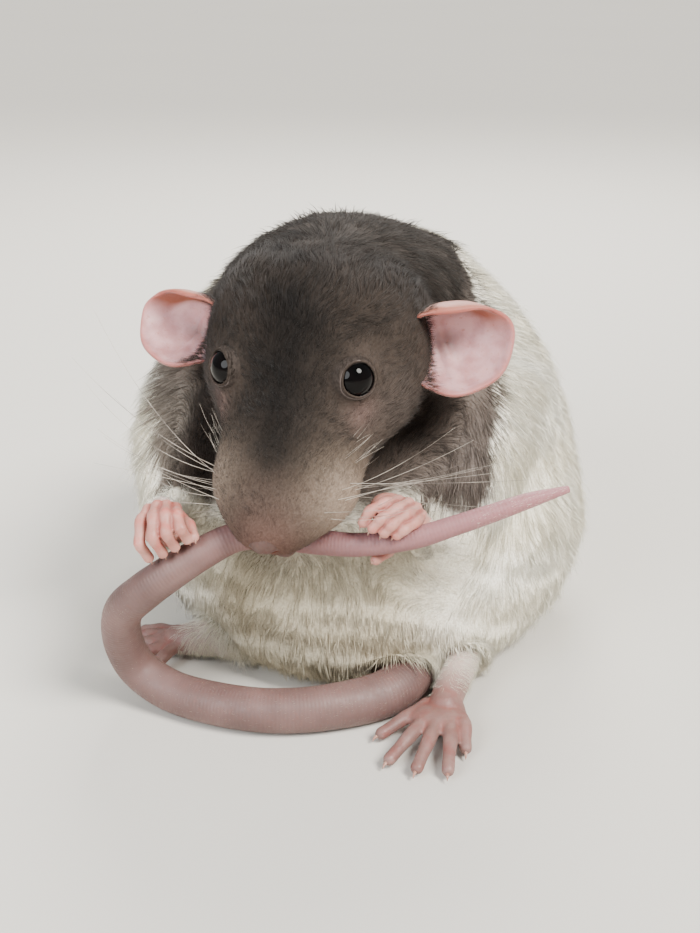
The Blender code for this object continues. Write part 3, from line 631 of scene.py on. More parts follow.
def paws():
    """Hands and feet with their material slots, and all their claws as one piece."""
    made, nails = [], []
    for side, word in ((LEFT, "left"), (RIGHT, "right")):
        flesh, claws = hand(side)
        made.append((fused("hand_" + word, flesh, 0.24, 2), HAND))
        nails += claws
        toes, claws = digits(TOES[side], TOE_RADIUS)
        parts = [limb("sole", SOLES[side]), ball(*KNUCKLES[side]), *toes]
        made.append((fused("foot_" + word, parts, 0.34, 9), FOOT))
        nails += claws
    nails = join("claws", nails)
    p = coords(nails.data)
    p[:, 2] = np.maximum(p[:, 2], 0.05 * MM)
    set_coords(nails.data, p)
    return made, nails


def ear_frame(side):
    """An ear's own frame: x out along it, z the way its bowl faces."""
    if side == LEFT:
        base, out, face = (6.8, -41.5, 64.8), (0.985, 0.14, 0.02), (0.12, -0.92, 0.34)
        size = 1.03
    else:
        base, out, face = (-23.2, -32.0, 64.4), (-0.87, 0.48, 0.04), (-0.46, -0.64, 0.60)
        size = 0.92
    x = Vector(out).normalized()
    z = Vector(face)
    z = (z - x * z.dot(x)).normalized()
    y = z.cross(x) * side
    turn = Matrix((x, y, z)).transposed().to_4x4()
    return Matrix.Translation(base) @ turn @ Matrix.Scale(size, 4)


def ear_point(share, turn):
    """A point of an ear's bowl, share of the way out to its rim, and how far it folds."""
    out, up = math.cos(turn), math.sin(turn)
    reach = EAR_LENGTH / 2 * (1.0 if out > 0 else 0.92)
    wavy = 1 + 0.02 * math.sin(3 * turn + 1.0) * share + 0.012 * math.sin(7 * turn) * share
    x = EAR_LENGTH / 2 - 1.6 + out * share * reach * wavy
    y = up * share * EAR_WIDTH / 2 * (1.0 + 0.10 * out) * wavy
    bowl = EAR_DEPTH * (1 - share ** 1.7)
    root = 3.4 * max(0.0, -out) ** 2 * share ** 3
    over = max(0.0, up + 0.15) ** 2 / 1.32
    curl = max(0.0, share - 0.70) / 0.30
    fold = over * (2.4 * math.sin(2.3 * curl) + 0.5 * curl)
    fold_in = 4.4 * over * curl ** 1.4
    ridge = 0.9 * math.exp(-(((x - 4.6 - 0.10 * y) / 1.1) ** 2)) * (1 - share ** 2)
    ridge += 0.6 * math.exp(-(((x - 8.0 + 0.2 * y) / 0.9) ** 2)) * (1 - share ** 3)
    lip = 0.4 * math.exp(-(((share - 0.97) / 0.05) ** 2))
    point = Vector((x, y - fold_in, -bowl + fold - root + ridge + lip))
    return point, over * min(1.0, max(0.0, share - 0.60) * 6)


def ear(side):
    """The bowl of an ear with its rolled rim, folds and the knob before its opening."""
    place = ear_frame(side)
    bm = bmesh.new()
    rings, around = 26, 72
    made, rims, folds = [], [], []
    for i in range(1, rings + 1):
        share = i / rings
        spots = [ear_point(share, turn) for turn in turns(around)]
        rims += [share] * around
        folds += [fold for _, fold in spots]
        made.append([bm.verts.new(place @ point * MM) for point, _ in spots])
    heart = bm.verts.new(place @ Vector((EAR_LENGTH / 2 - 1.6, 0, -EAR_DEPTH)) * MM)
    for i in range(around):
        bm.faces.new((heart, made[0][i], made[0][(i + 1) % around]))
    for inner, outer in zip(made, made[1:]):
        for i in range(around):
            j = (i + 1) % around
            bm.faces.new((inner[i], outer[i], outer[j], inner[j]))
    obj = new_object("ear", bm)
    set_attribute(obj.data, "rim", [*rims, 0.0])
    set_attribute(obj.data, "fold", [*folds, 0.0])
    modifier = obj.modifiers.new("shell", "SOLIDIFY")
    modifier.thickness = EAR_THICKNESS * MM
    modifier.offset = 0.0
    apply_modifiers(obj)
    half = len(obj.data.vertices) // 2
    middle = normals_of(obj.data)[half - 1]
    faces_out = float(np.dot(middle, np.array(place.to_3x3().col[2]))) > 0
    set_attribute(obj.data, "back", np.repeat([0.0, 1.0] if faces_out else [1.0, 0.0], half))
    return obj


def eye_frame(side):
    """An eye's own frame: its z looks out along the eye's axis."""
    axis = Vector((0.62 * side, 0.42, 0.66)).normalized()
    place = Matrix.Translation(eye_place(side))
    return HEAD @ place @ axis.to_track_quat("Z", "Y").to_matrix().to_4x4()


def lids(side):
    """The two lids: a thin shell that hugs the eye, with a soft edge and small corners."""
    place = eye_frame(side)
    edge = math.degrees(math.asin(EYE_OPENING / EYE_RADIUS))
    profile = ((3.30, -2.0), (3.52, -1.6), (3.70, -0.6), (3.84, 1.5), (3.90, 4.5), (3.88, 9.0),
               (3.92, 16.0), (3.95, 28.0), (3.90, 45.0), (3.70, 62.0))
    rings = []
    for radius, turn in profile:
        ring = []
        for a in turns(64):
            corner = 4.5 * abs(math.cos(a)) ** 8
            droop = -3.0 * max(0.0, math.sin(a)) ** 2
            lean = math.radians(edge + corner + droop + turn)
            ring.append(Vector((math.cos(a) * math.sin(lean), math.sin(a) * math.sin(lean),
                                math.cos(lean))) * radius)
        rings.append(ring)
    obj = loft("lids", rings, place)
    values = np.repeat([min(1.0, max(0.0, turn / 9.0)) for _, turn in profile], 64)
    set_attribute(obj.data, "rim", values)
    return obj


def nose():
    """The bare nose pad with its nostrils, and the cleft lip under it."""
    parts = [
        ball((0, 27.9, -4.7), (2.9, 2.3, 2.3), frame_of=HEAD),
        ball((1.7, 27.3, -5.4), (2.0, 2.1, 2.0), frame_of=HEAD),
        ball((-1.7, 27.3, -5.4), (2.0, 2.1, 2.0), frame_of=HEAD),
        ball((1.9, 26.6, -9.0), (2.3, 2.3, 2.3), frame_of=HEAD),
        ball((-1.9, 26.6, -9.0), (2.3, 2.3, 2.3), frame_of=HEAD),
    ]
    pad = smooth(remesh(join("nose", parts), 0.22), 4)
    for side in (LEFT, RIGHT):
        boolean(pad, ball((2.0 * side, 29.4, -5.4), (0.75, 1.5, 0.5), (-20, 20 * side, -30 * side),
                          HEAD, 16), "DIFFERENCE", "MANIFOLD")
    boolean(pad, ball((0, 29.6, -8.6), (0.28, 1.6, 3.6), (-10, 0, 0), HEAD, 16), "DIFFERENCE",
            "MANIFOLD")
    return pad


# Materials


class Value:
    """A shader socket that Python's own operators work on."""

    def __init__(self, paint, socket):
        self.paint, self.socket = paint, socket

    def maths(self, operation, *others):
        return self.paint.node("ShaderNodeMath", {"operation": operation},
                               dict(enumerate((self, *others))))

    def __add__(self, other):
        return self.maths("ADD", other)

    def __mul__(self, other):
        return self.maths("MULTIPLY", other)

    def __sub__(self, other):
        return self.maths("SUBTRACT", other)

    def __rsub__(self, other):
        return self * -1.0 + other

    __radd__, __rmul__ = __add__, __mul__


class Paint:
    """One material, written as expressions."""

    def __init__(self, name):
        self.material = bpy.data.materials.new(name)
        self.material.use_nodes = True
        self.tree = self.material.node_tree
        self.shader = self.tree.nodes["Principled BSDF"]
        self.place = self.node("ShaderNodeTexCoord", {}, {}, "Object")

    def put(self, socket, value):
        """A link for a value, or the number or colour itself."""
        if isinstance(value, Value):
            self.tree.links.new(value.socket, socket)
        elif isinstance(value, (int, float)):
            socket.default_value = value
        else:
            socket.default_value = (*[float(v) for v in value], 1.0)[:len(socket.default_value)]

    def node(self, kind, settings, sockets, output=0):
        """A material node with its inputs set and linked."""
        made = self.tree.nodes.new(kind)
        for key, value in settings.items():
            setattr(made, key, value)
        for key, value in sockets.items():
            self.put(made.inputs[key], value)
        return Value(self, made.outputs[output])

    def noise(self, scale, detail=3.0):
        return self.node("ShaderNodeTexNoise", {},
                         {"Vector": self.place, "Scale": scale, "Detail": detail}, "Fac")

    def spread(self, value, low, high, start=0.0, stop=1.0):
        return self.node("ShaderNodeMapRange", {}, {"Value": value, "From Min": low,
                         "From Max": high, "To Min": start, "To Max": stop})

    def mix(self, a, b, factor, kind="MIX"):
        settings = {"data_type": "RGBA", "blend_type": kind}
        return self.node("ShaderNodeMix", settings, {0: factor, 6: a, 7: b}, 2)

    def attribute(self, name, output="Fac"):
        return self.node("ShaderNodeAttribute", {"attribute_name": name}, {}, output)

    def bump(self, height, distance, strength=1.0):
        normal = self.node("ShaderNodeBump", {}, {"Height": height, "Distance": distance * MM,
                                                  "Strength": strength})
        self.put(self.shader.inputs["Normal"], normal)

    def finish(self, colour, rough, **constants):
        self.put(self.shader.inputs["Base Color"], colour)
        self.put(self.shader.inputs["Roughness"], rough)
        for name, value in constants.items():
            self.put(self.shader.inputs[name.replace("_", " ")], value)
        return self.material

    def blood(self, weight, scale):
        """Light that soaks into thin skin."""
        self.put(self.shader.inputs["Subsurface Weight"], weight)
        self.put(self.shader.inputs["Subsurface Scale"], scale * MM)
        self.shader.inputs["Subsurface Radius"].default_value = (1.0, 0.38, 0.22)


def undercoat():
    """The skin under the coat: the coat's colours, with the grain of short fur and painted shade
    between its hairs.
    """
    m = Paint("undercoat")
    grain, broad = m.noise(2600, 4.0), m.noise(260, 3.0)
    coat = m.attribute("coat", "Color")
    # painted shade: the coat's colour darkened in flecks, as in the gaps between short hairs
    deep = m.mix(coat, (0.74, 0.70, 0.66), 1.0, "MULTIPLY")
    m.bump(grain, 0.2, 0.7)
    return m.finish(m.mix(deep, coat, m.spread(grain, 0.35, 0.65)),
                    m.spread(broad, 0.3, 0.7, 0.75, 0.95), Specular_IOR_Level=0.12)


def fur():
    """The hairs: the coat's colour, a little darker at the root as painted shade deep in the coat.
    """
    m = Paint("fur")
    coat = m.attribute("coat", "Color")
    # painted shade: each hair darkens toward its root
    root = m.mix(coat, (0.82, 0.79, 0.75), 1.0, "MULTIPLY")
    colour = m.mix(root, coat, m.spread(m.attribute("tip"), 0.0, 0.7))
    return m.finish(colour, m.spread(m.noise(900, 2.0), 0.3, 0.7, 0.6, 0.8),
                    Sheen_Weight=0.03, Sheen_Roughness=0.4, Specular_IOR_Level=0.12)


def bare_skin(name, pale, deep, flush, grain=1500, height=0.12):
    """Bare skin with fine creases, a flush of blood, and painted shade in its deeper creases."""
    m = Paint(name)
    broad, fine = m.noise(170, 3.0), m.noise(grain, 3.0)
    base = m.mix(pale, deep, m.spread(broad, 0.35, 0.7))
    base = m.mix(base, flush, m.spread(m.noise(420, 2.0), 0.5, 0.75, 0.0, 0.7))
    base = m.mix(base, (0.25, 0.08, 0.06), m.spread(fine, 0.40, 0.2, 0.0, 0.35))
    base = m.mix(base, srgb(226, 212, 200), m.spread(m.attribute("downy"), 0.0, 1.0, 0.0, 0.5))
    # the deeper creases redder and darker: partly the skin's own flush, partly painted shade
    base = m.mix(base, srgb(132, 54, 44), m.spread(m.attribute("hollow"), 0.05, 0.8, 0.0, 0.6))
    m.bump(fine, height, 0.9)
    m.blood(0.22, 1.0)
    return m.finish(base, m.spread(fine, 0.3, 0.7, 0.42, 0.62))


def tail_scales():
    """Fine rings of scales round a pink-mauve tail."""
    m = Paint("tail_scales")
    rings, turn = m.attribute("ring"), m.attribute("turn")
    wander = m.noise(260, 2.0) * 1.6
    ridge = (rings * (2 * math.pi / 0.62) + wander).maths("SINE")
    across = (turn * 34.0 + ridge * 0.8 + wander * 2.0).maths("SINE")
    scales = ridge * 0.55 + across * 0.35
    base = m.mix(srgb(118, 90, 85), srgb(94, 70, 66), m.spread(m.noise(110, 3.0), 0.35, 0.7))
    base = m.mix(base, srgb(98, 69, 64), m.spread(scales, -0.2, -0.8, 0.0, 0.14))
    base = m.mix(base, srgb(178, 118, 124), m.spread(m.attribute("end"), 0.6, 1.0, 0.0, 0.7))
    base = m.mix(base, srgb(118, 80, 72), m.spread(m.noise(800, 4.0), 0.60, 0.75, 0.0, 0.45))
    m.bump(scales, 0.035, 0.6)
    m.blood(0.2, 1.0)
    return m.finish(base, m.spread(m.noise(1200, 2.0), 0.3, 0.7, 0.48, 0.66))


def ear_shell():
    """Thin pink ears, deeper in colour on the back and where the rim folds over, with painted
    shade deep in the bowl.
    """
    m = Paint("ear_shell")
    rim, fold, veins = m.attribute("rim"), m.attribute("fold"), m.noise(330, 4.0)
    base = m.mix(srgb(194, 150, 150), srgb(172, 122, 122), m.spread(veins, 0.4, 0.65))
    base = m.mix(base, srgb(146, 78, 52), m.spread(fold, 0.04, 0.4, 0.0, 0.95))
    base = m.mix(base, srgb(158, 92, 70), m.spread(m.attribute("back"), 0.0, 1.0, 0.0, 0.85))
    base = m.mix(base, srgb(166, 92, 84), m.spread(rim, 0.92, 1.0, 0.0, 0.7))
    # painted shade: darker deep in the bowl, toward its middle
    base = m.mix(base, srgb(104, 72, 68), m.spread(rim, 0.34, 0.0, 0.0, 0.9))
    base = m.mix(base, srgb(160, 96, 84), m.spread(m.noise(1400, 3.0), 0.6, 0.75, 0.0, 0.5))
    m.bump(m.noise(1100, 3.0), 0.10, 0.8)
    m.blood(0.45, 1.6)
    return m.finish(base, m.spread(veins, 0.3, 0.7, 0.45, 0.6), Sheen_Weight=0.2)


def wet_eye():
    """A wet black eye."""
    m = Paint("wet_eye")
    broad = m.noise(300, 2.0)
    colour = m.mix((0.001, 0.001, 0.001), (0.003, 0.002, 0.002), m.spread(broad, 0.4, 0.7))
    return m.finish(colour, m.spread(broad, 0.3, 0.7, 0.02, 0.04), Specular_IOR_Level=0.12)


def lid_edge():
    """Lids: dark and wet at the edge, then pale, then the coat's colour."""
    m = Paint("lid_edge")
    rim, grain = m.attribute("rim"), m.noise(1800, 4.0)
    outer = m.mix(srgb(62, 54, 49), srgb(46, 39, 35), m.spread(grain, 0.35, 0.65))
    pale = m.mix(srgb(94, 83, 79), outer, m.spread(rim, 0.2, 0.5))
    base = m.mix(srgb(30, 23, 21), pale, m.spread(rim, 0.04, 0.2))
    m.bump(grain, 0.08, 0.8)
    return m.finish(base, m.spread(rim, 0.0, 0.4, 0.35, 0.8), Specular_IOR_Level=0.15)


def claw_horn():
    """Pale brownish horn."""
    m = Paint("claw_horn")
    fine = m.noise(1500, 3.0)
    m.bump(fine, 0.03, 0.5)
    m.blood(0.2, 0.6)
    return m.finish(m.mix(srgb(178, 138, 122), srgb(152, 108, 94), m.spread(fine, 0.35, 0.65)),
                    m.spread(fine, 0.3, 0.7, 0.28, 0.42))


def whisker_hair():
    """Stiff pale hairs, darker in places."""
    m = Paint("whisker_hair")
    shade = m.noise(140, 2.0)
    colour = m.mix(srgb(96, 86, 78), srgb(190, 180, 166), m.spread(shade, 0.35, 0.6))
    return m.finish(colour, m.spread(m.noise(800, 2.0), 0.3, 0.7, 0.3, 0.45))


# The coat


def triangles_of(obj):
    """The corner vertices and the corner loops of an object's triangles."""
    mesh = obj.data
    mesh.calc_loop_triangles()
    count = len(mesh.loop_triangles)
    corners = np.empty(count * 3, dtype=np.int32)
    loops = np.empty(count * 3, dtype=np.int32)
    mesh.loop_triangles.foreach_get("vertices", corners)
    mesh.loop_triangles.foreach_get("loops", loops)
    return corners.reshape(-1, 3), loops.reshape(-1, 3)


def unwrap(obj):
    """An unwrap of the skin's own shape, one UV for each loop."""
    bpy.ops.object.select_all(action="DESELECT")
    bpy.context.view_layer.objects.active = obj
    obj.select_set(True)
    bpy.ops.object.mode_set(mode="EDIT")
    bpy.ops.mesh.select_all(action="SELECT")
    bpy.ops.uv.smart_project(angle_limit=math.radians(66), island_margin=0.002)
    bpy.ops.object.mode_set(mode="OBJECT")
    layer = obj.data.uv_layers.active
    uv = np.empty(len(obj.data.loops) * 2)
    layer.uv.foreach_get("vector", uv)
    obj.data.uv_layers.remove(layer)
    return uv.reshape(-1, 2)


def fur_length(p):
    """How long the hairs are: short on the face and forelegs, long on the cheeks and trunk."""
    h = head_frame(p)
    mask = is_head(p)
    on_head = 3.8 - 2.6 * step(-14, 22, h[:, 1])
    length = 5.4 * (1 - mask) + on_head * mask
    belly = step(-30, -42, p[:, 1]) * step(34, 24, p[:, 2]) * (1 - mask)
    length = length * (1 - 0.25 * belly)
    for side in (LEFT, RIGHT):
        gap, _, share = along_foreleg(p, side)
        arm = step(13, 8, gap) * step(0.3, 1.0, share)
        length = length * (1 - arm) + 2.2 * arm
        length = length * (1 - 0.6 * near(h, eye_place(side), 5.5) * mask)
        length = length * (1 - 0.35 * near(h, (17.0 * side, -11.0, 0.0), 7.0) * mask)
        length = length * (1 + 0.5 * near(h, (13.0 * side, 2.0, -9.0), 6.0) * mask)
    return np.maximum(length, 0.7)


def fur_width(p):
    """How wide the hairs are at the root."""
    return 0.075 + 0.013 * fur_length(p)


class Roots:
    """Places on the skin where hairs grow, with their normals and the skin's unwrap there."""

    def __init__(self, skin, density, count, seed):
        """Draws the roots from a seed, more of them where the density is high."""
        self.draw = np.random.default_rng(seed)
        corner, loops = skin["corners"], skin["loops"]
        co, no, uv = skin["co"], skin["no"], skin["uv"]
        a, b, c = (co[corner[:, k]] for k in range(3))
        area = np.linalg.norm(np.cross(b - a, c - a), axis=1) / 2
        weight = area * density((a + b + c) / 3)
        pick = self.draw.choice(len(corner), size=count, p=weight / weight.sum())
        u, v = self.draw.random(count), self.draw.random(count)
        u, v = np.where(u + v > 1, 1 - u, u), np.where(u + v > 1, 1 - v, v)
        share = np.stack([1 - u - v, u, v], axis=1)[:, :, None]
        self.p = (co[corner[pick]] * share).sum(axis=1)
        self.n = unit((no[corner[pick]] * share).sum(axis=1))
        self.uv = (uv[loops[pick]] * share).sum(axis=1)
        self.count = count

    def gather(self, tufts):
        """For each hair the number of its nearest tuft."""
        tree = KDTree(tufts.count)
        for i, place in enumerate(tufts.p):
            tree.insert(place, i)
        tree.balance()
        return np.array([tree.find(place)[1] for place in self.p])


# The three corners of a hair's section
HAIR_SECTION = [(math.cos(a), math.sin(a)) for a in (math.pi / 2, math.pi * 7 / 6,
                                                     math.pi * 11 / 6)]


def strands(name, root, normal, way, length, width, lift, bend, pull, colour, uv, spike=False):
    """Closed tapered hairs as one mesh. pull draws each tip toward its tuft's. Millimetres."""
    side = np.cross(way, normal)
    c0, s0 = np.cos(lift)[:, None], np.sin(lift)[:, None]
    low = np.maximum(lift - bend, -0.15)
    c1, s1 = np.cos(low)[:, None], np.sin(low)[:, None]
    start = root - normal * 0.12 - way * 0.05
    half = length[:, None] * 0.5
    mid = start + (way * c0 + normal * s0) * half + pull * 0.35
    tip = mid + (way * c1 + normal * s1) * half + pull * 0.65
    # hairs that would run into the floor bend to lie on it
    mid[:, 2] = np.maximum(mid[:, 2], 0.06 + width / 2)
    tip[:, 2] = np.maximum(tip[:, 2], 0.05)
    w = width[:, None] / 2
    base_up = normal * c0 - way * s0
    mid_up = normal * c1 - way * s1
    rows = [start + w * (side * x + base_up * y * 0.6) for x, y in HAIR_SECTION]
    tips = [0.0, 0.0, 0.0]
    if spike:
        faces = [(0, 2, 1), (0, 1, 3), (1, 2, 3), (2, 0, 3)]
    else:
        rows += [mid + w * 0.78 * (side * x + mid_up * y * 0.6) for x, y in HAIR_SECTION]
        tips += [0.55, 0.55, 0.55]
        faces = [(0, 2, 1)]
        for i in range(3):
            j = (i + 1) % 3
            faces += [(i, j, 3 + j), (i, 3 + j, 3 + i), (3 + i, 3 + j, 6)]
    rows.append(tip)
    tips.append(1.0)
    return hair_mesh(name, np.stack(rows, axis=1), tips, faces, colour, uv)


def hair_mesh(name, rows, tips, faces, colour, uv):
    """The mesh of many like hairs. rows holds each one's points, and tips how near its
    tip each of those points is."""
    count, per = rows.shape[:2]
    co = rows.reshape(-1, 3) * MM
    faces = np.array(faces, dtype=np.int64)
    index = (faces[None] + np.arange(count)[:, None, None] * per).reshape(-1, 3)
    mesh = bpy.data.meshes.new(name)
    mesh.vertices.add(len(co))
    mesh.vertices.foreach_set("co", co.ravel())
    mesh.loops.add(index.size)
    mesh.loops.foreach_set("vertex_index", index.ravel().astype(np.int32))
    mesh.polygons.add(len(index))
    mesh.polygons.foreach_set("loop_start", np.arange(0, index.size, 3, dtype=np.int32))
    mesh.update(calc_edges=True)
    set_attribute(mesh, "tip", np.tile(tips, count))
    set_colours(mesh, np.repeat(colour, per, axis=0))
    # each hair is a patch about 0.003 across at its root's place on the skin's unwrap
    across = np.tile(np.array(HAIR_SECTION), (per // 3 + 1, 1))[:per, 0]
    patch = np.stack([across, np.array(tips) * 2 - 1], axis=1) * 0.0015
    corner = (uv[:, None, :] + patch[None]).reshape(-1, 2)
    sheet = mesh.uv_layers.new(name="OFBake")
    sheet.uv.foreach_set("vector", corner[index.ravel()].ravel())
    mesh.shade_smooth()
    obj = bpy.data.objects.new(name, mesh)
    bpy.context.scene.collection.objects.link(obj)
    return obj


def skin_table(obj):
    """The skin's numbers that the coat grows from, with places in millimetres."""
    corners, loops = triangles_of(obj)
    return {"corners": corners, "loops": loops, "co": coords(obj.data) / MM,
            "no": normals_of(obj.data), "uv": unwrap(obj)}


def furred(p):
    """1 where hair grows on the body's skin, 0 on nose and eyes and where the skin meets the
    floor.
    """
    h = head_frame(p)
    grows = np.ones(len(p))
    for side in (LEFT, RIGHT):
        axis = unit(np.array([0.62 * side, 0.42, 0.66]))
        off = h - eye_place(side)
        ahead = off @ axis
        gap = np.linalg.norm(off - ahead[:, None] * axis, axis=1)
        grows *= 1 - step(3.5, 3.0, gap) * step(-1.0, 1.0, ahead) * step(9.0, 7.0, ahead)
        grows *= 1 - 0.9 * near(h, (2.0 * side, 29.0, -5.4), 1.6)
    grows *= step(1.2, 2.6, np.linalg.norm(h - (0.0, 29.6, -5.6), axis=1))
    return grows * step(0.4, 1.4, p[:, 2])


def along_tail(p, n):
    """The way of the tail's own short hairs: toward its tip."""
    rows = np.array([row[:3] for row in spline([(*place, radius) for place, radius in TAIL], 6)])
    tree = KDTree(len(rows) - 1)
    for i, (start, stop) in enumerate(zip(rows, rows[1:])):
        tree.insert((start + stop) / 2, i)
    tree.balance()
    nearest = np.array([tree.find(place)[1] for place in p])
    way = unit(np.diff(rows, axis=0))[nearest]
    return unit(way - n * np.sum(way * n, axis=1, keepdims=True))


def grow(name, skin, count, seed, density, reach=1.0, thick=1.0, lift=0.22, clump=6.0,
         gather=0.5, spike=False, ways=lie):
    """One piece of the coat: hairs in tufts that overlap along the body's lie."""
    roots = Roots(skin, density, count, seed)
    tufts = Roots(skin, density, max(8, int(count / clump)), seed + 1)
    mine = roots.gather(tufts)
    draw = roots.draw
    length = fur_length(roots.p) * reach * draw.uniform(0.72, 1.12, count)
    width = fur_width(roots.p) * thick * draw.uniform(0.8, 1.2, count)
    way = ways(roots.p, roots.n)
    way[:, 2] = np.maximum(way[:, 2], -(roots.p[:, 2] - 0.1) / length)
    way = unit(way)
    side = unit(np.cross(roots.n, way))
    stray = draw.normal(0, 0.10, count)[:, None]
    way = unit(way * np.cos(stray) + side * np.sin(stray))
    rise = np.clip(draw.normal(lift, 0.06, count), 0.05, 0.6)
    rise = rise + 0.16 * gather * draw.normal(size=tufts.count)[mine]
    # the tips of a tuft's hairs draw together
    toward = tufts.p[mine] - roots.p
    toward = toward - way * np.sum(toward * way, axis=1, keepdims=True)
    pull = toward * gather
    limit = 0.35 * length[:, None]
    size = np.linalg.norm(pull, axis=1, keepdims=True)
    pull = pull * np.minimum(1.0, limit / np.maximum(size, 1e-6))
    tone = 0.55 * draw.normal(size=tufts.count)[mine] + 0.45 * draw.normal(size=count)
    colour = coat_colour(roots.p, np.clip(tone, -2, 2))
    return strands(name, roots.p, roots.n, way, length, width, np.maximum(rise, 0.04),
                   0.16, pull, colour, tufts.uv[mine], spike)


def on_body(p):
    return furred(p) * (1 - is_head(p)) * (1 - 0.97 * wrist(p))


def on_head(p):
    h = head_frame(p)
    return furred(p) * is_head(p) * (1 + 2.6 * step(-10, 20, h[:, 1]))


def downy(p):
    """1 where thin short hair runs down over the legs' ends, 0 on the bare hands and feet."""
    x, y, z = p.T
    left = step(-55, -46, y) * step(10, 14, x) * step(14, 11, z)
    right = step(-35, -28, x) * step(14, 11, z) * step(-44, -40, y)
    arms = step(-51.5, -47.5, y) * step(24, 28, z)
    return np.maximum(np.maximum(left, right), arms)


def on_tail(p):
    return step(0.3, 1.2, p[:, 2]) * step(-20, -30, p[:, 1])


def ear_root(side):
    """Where hair grows on an ear's root, and its way: out along the ear."""
    place = ear_frame(side)
    base, out = np.array(place.translation), np.array(place.to_3x3().col[0].normalized())

    def grows(p):
        along = (p - base) @ out
        return step(1.5, 2.5, along) * step(6.2, 3.8, along)

    def ways(p, n):
        way = out + 0.25 * unit(p - base)
        return unit(way - n * np.sum(way * n, axis=1, keepdims=True))

    return grows, ways


def wrist(p):
    """1 at the forelegs' ends, where the hair thins out over the hands."""
    fade = np.zeros(len(p))
    for side in (LEFT, RIGHT):
        gap, _, share = along_foreleg(p, side)
        fade = np.maximum(fade, step(9, 6, gap) * step(0.88, 1.0, share))
    return fade


def whiskers():
    """Long curved hairs from both sides of the muzzle, and short ones below the eyes."""
    draw = np.random.default_rng(31)
    rows = []
    for side in (LEFT, RIGHT):
        for row in range(4):
            for col in range(4):
                root = Vector((side * (9.6 - 0.7 * col - 0.5 * row), 16.8 + 1.9 * col,
                               -5.0 - 1.7 * row + 0.2 * col))
                out = Vector((side, 0.15 - 0.40 * (3 - col) / 3 + draw.uniform(-0.30, 0.30),
                              0.42 - 0.26 * row + draw.uniform(-0.26, 0.26)))
                reach = 17 + 4.5 * (3 - col) - 1.5 * row + draw.uniform(-4, 4)
                rows.append((root, out.normalized(), reach, 0.036))
        for _ in range(22):
            spot = draw.uniform(-1, 1, 3)
            root = Vector((side * (11.2 + 1.2 * spot[0]), 11.6 + 2.4 * spot[1],
                           -5.4 - 2.8 * spot[2]))
            out = Vector((side * (0.75 + 0.25 * spot[1]), -0.75, -0.25 * spot[2]))
            rows.append((root, out.normalized(), draw.uniform(2.5, 5.5), 0.008))
    turned = HEAD.to_3x3()
    shares = [i / 13 for i in range(14)]
    parts = []
    for root, out, reach, thick in rows:
        start, way = HEAD @ root, turned @ out
        sag = Vector((0, 0, -1)) * float(draw.uniform(-0.10, 0.26)) * reach
        back = turned @ Vector((0, -1, 0)) * float(draw.uniform(0.10, 0.50)) * reach
        points = [start + way * reach * t + (back + sag) * t * t for t in shares]
        radii = [thick * (1 - t) ** 0.7 + 0.014 for t in shares]
        parts.append(tube("whisker", points, radii, 5))
    return join("whiskers", parts)


def settle(obj, material):
    """A finished piece: its one material, and the body that it rides on."""
    obj.data.materials.clear()
    obj.data.materials.append(material)
    obj.data.shade_smooth()
    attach(obj, "root")
    return obj


def mark(obj, kind, materials):
    """Gives one part of the skin its colours, down, painted shade in its creases, and material
    slots.
    """
    p = coords(obj.data) / MM
    set_colours(obj.data, coat_colour(p, np.zeros(len(p))))
    bare = kind in (HAND, NOSE, FOOT)
    # painted shade in the creases of bare skin, weaker on the feet
    crease_shade_strength = 0.4 if kind == FOOT else 1.0
    set_attribute(obj.data, "downy", downy(p) * bare)
    set_attribute(obj.data, "hollow", hollows(obj.data) * bare * crease_shade_strength)
    obj.data.materials.clear()
    for material in materials:
        obj.data.materials.append(material)
    kinds = np.full(len(obj.data.polygons), kind, dtype=np.int32)
    obj.data.polygons.foreach_set("material_index", kinds)


def flesh_skin(materials):
    """Body, ears, paws, tail and nose in one piece, the claws, and the tables of the
    skins that the coat grows from."""
    body = body_skin()
    tables = {"body": skin_table(body)}
    hands_feet, nails = paws()
    tables["limbs"] = [skin_table(obj) for obj, _ in hands_feet]
    tail = tail_skin()
    tables["tail"] = skin_table(tail)
    ears = [ear(LEFT), ear(RIGHT)]
    tables["ears"] = [skin_table(obj) for obj in ears]
    parts = [(body, BODY), *hands_feet, (tail, TAIL_SKIN), *((obj, EAR) for obj in ears),
             (lids(LEFT), LID), (lids(RIGHT), LID), (nose(), NOSE)]
    number_tail(tail)
    for obj, kind in parts:
        mark(obj, kind, materials)
    bpy.ops.object.select_all(action="DESELECT")
    for obj, _ in parts:
        obj.select_set(True)
    bpy.context.view_layer.objects.active = body
    bpy.ops.object.join()
    body.name = "skin"
    return body, nails, tables


def hollows(mesh):
    """How far each vertex lies below its neighbours, 0 to 1, as in the creases of a fist."""
    pairs = np.empty(len(mesh.edges) * 2, dtype=np.int32)
    mesh.edges.foreach_get("vertices", pairs)
    a, b = pairs.reshape(-1, 2).T
    ones = np.ones(len(a))
    count = len(mesh.vertices)
    share = np.bincount(a, ones, count) + np.bincount(b, ones, count)

    def around(values):
        total = np.bincount(a, values[b], count) + np.bincount(b, values[a], count)
        return total / np.maximum(share, 1)

    co = coords(mesh)
    mean = np.stack([around(co[:, i]) for i in range(3)], axis=1)
    low = np.clip(np.sum((mean - co) * normals_of(mesh), axis=1) / (0.012 * MM), 0, 1)
    for _ in range(3):
        low = 0.4 * low + 0.6 * around(low)
    return np.clip(low * 1.4, 0, 1)


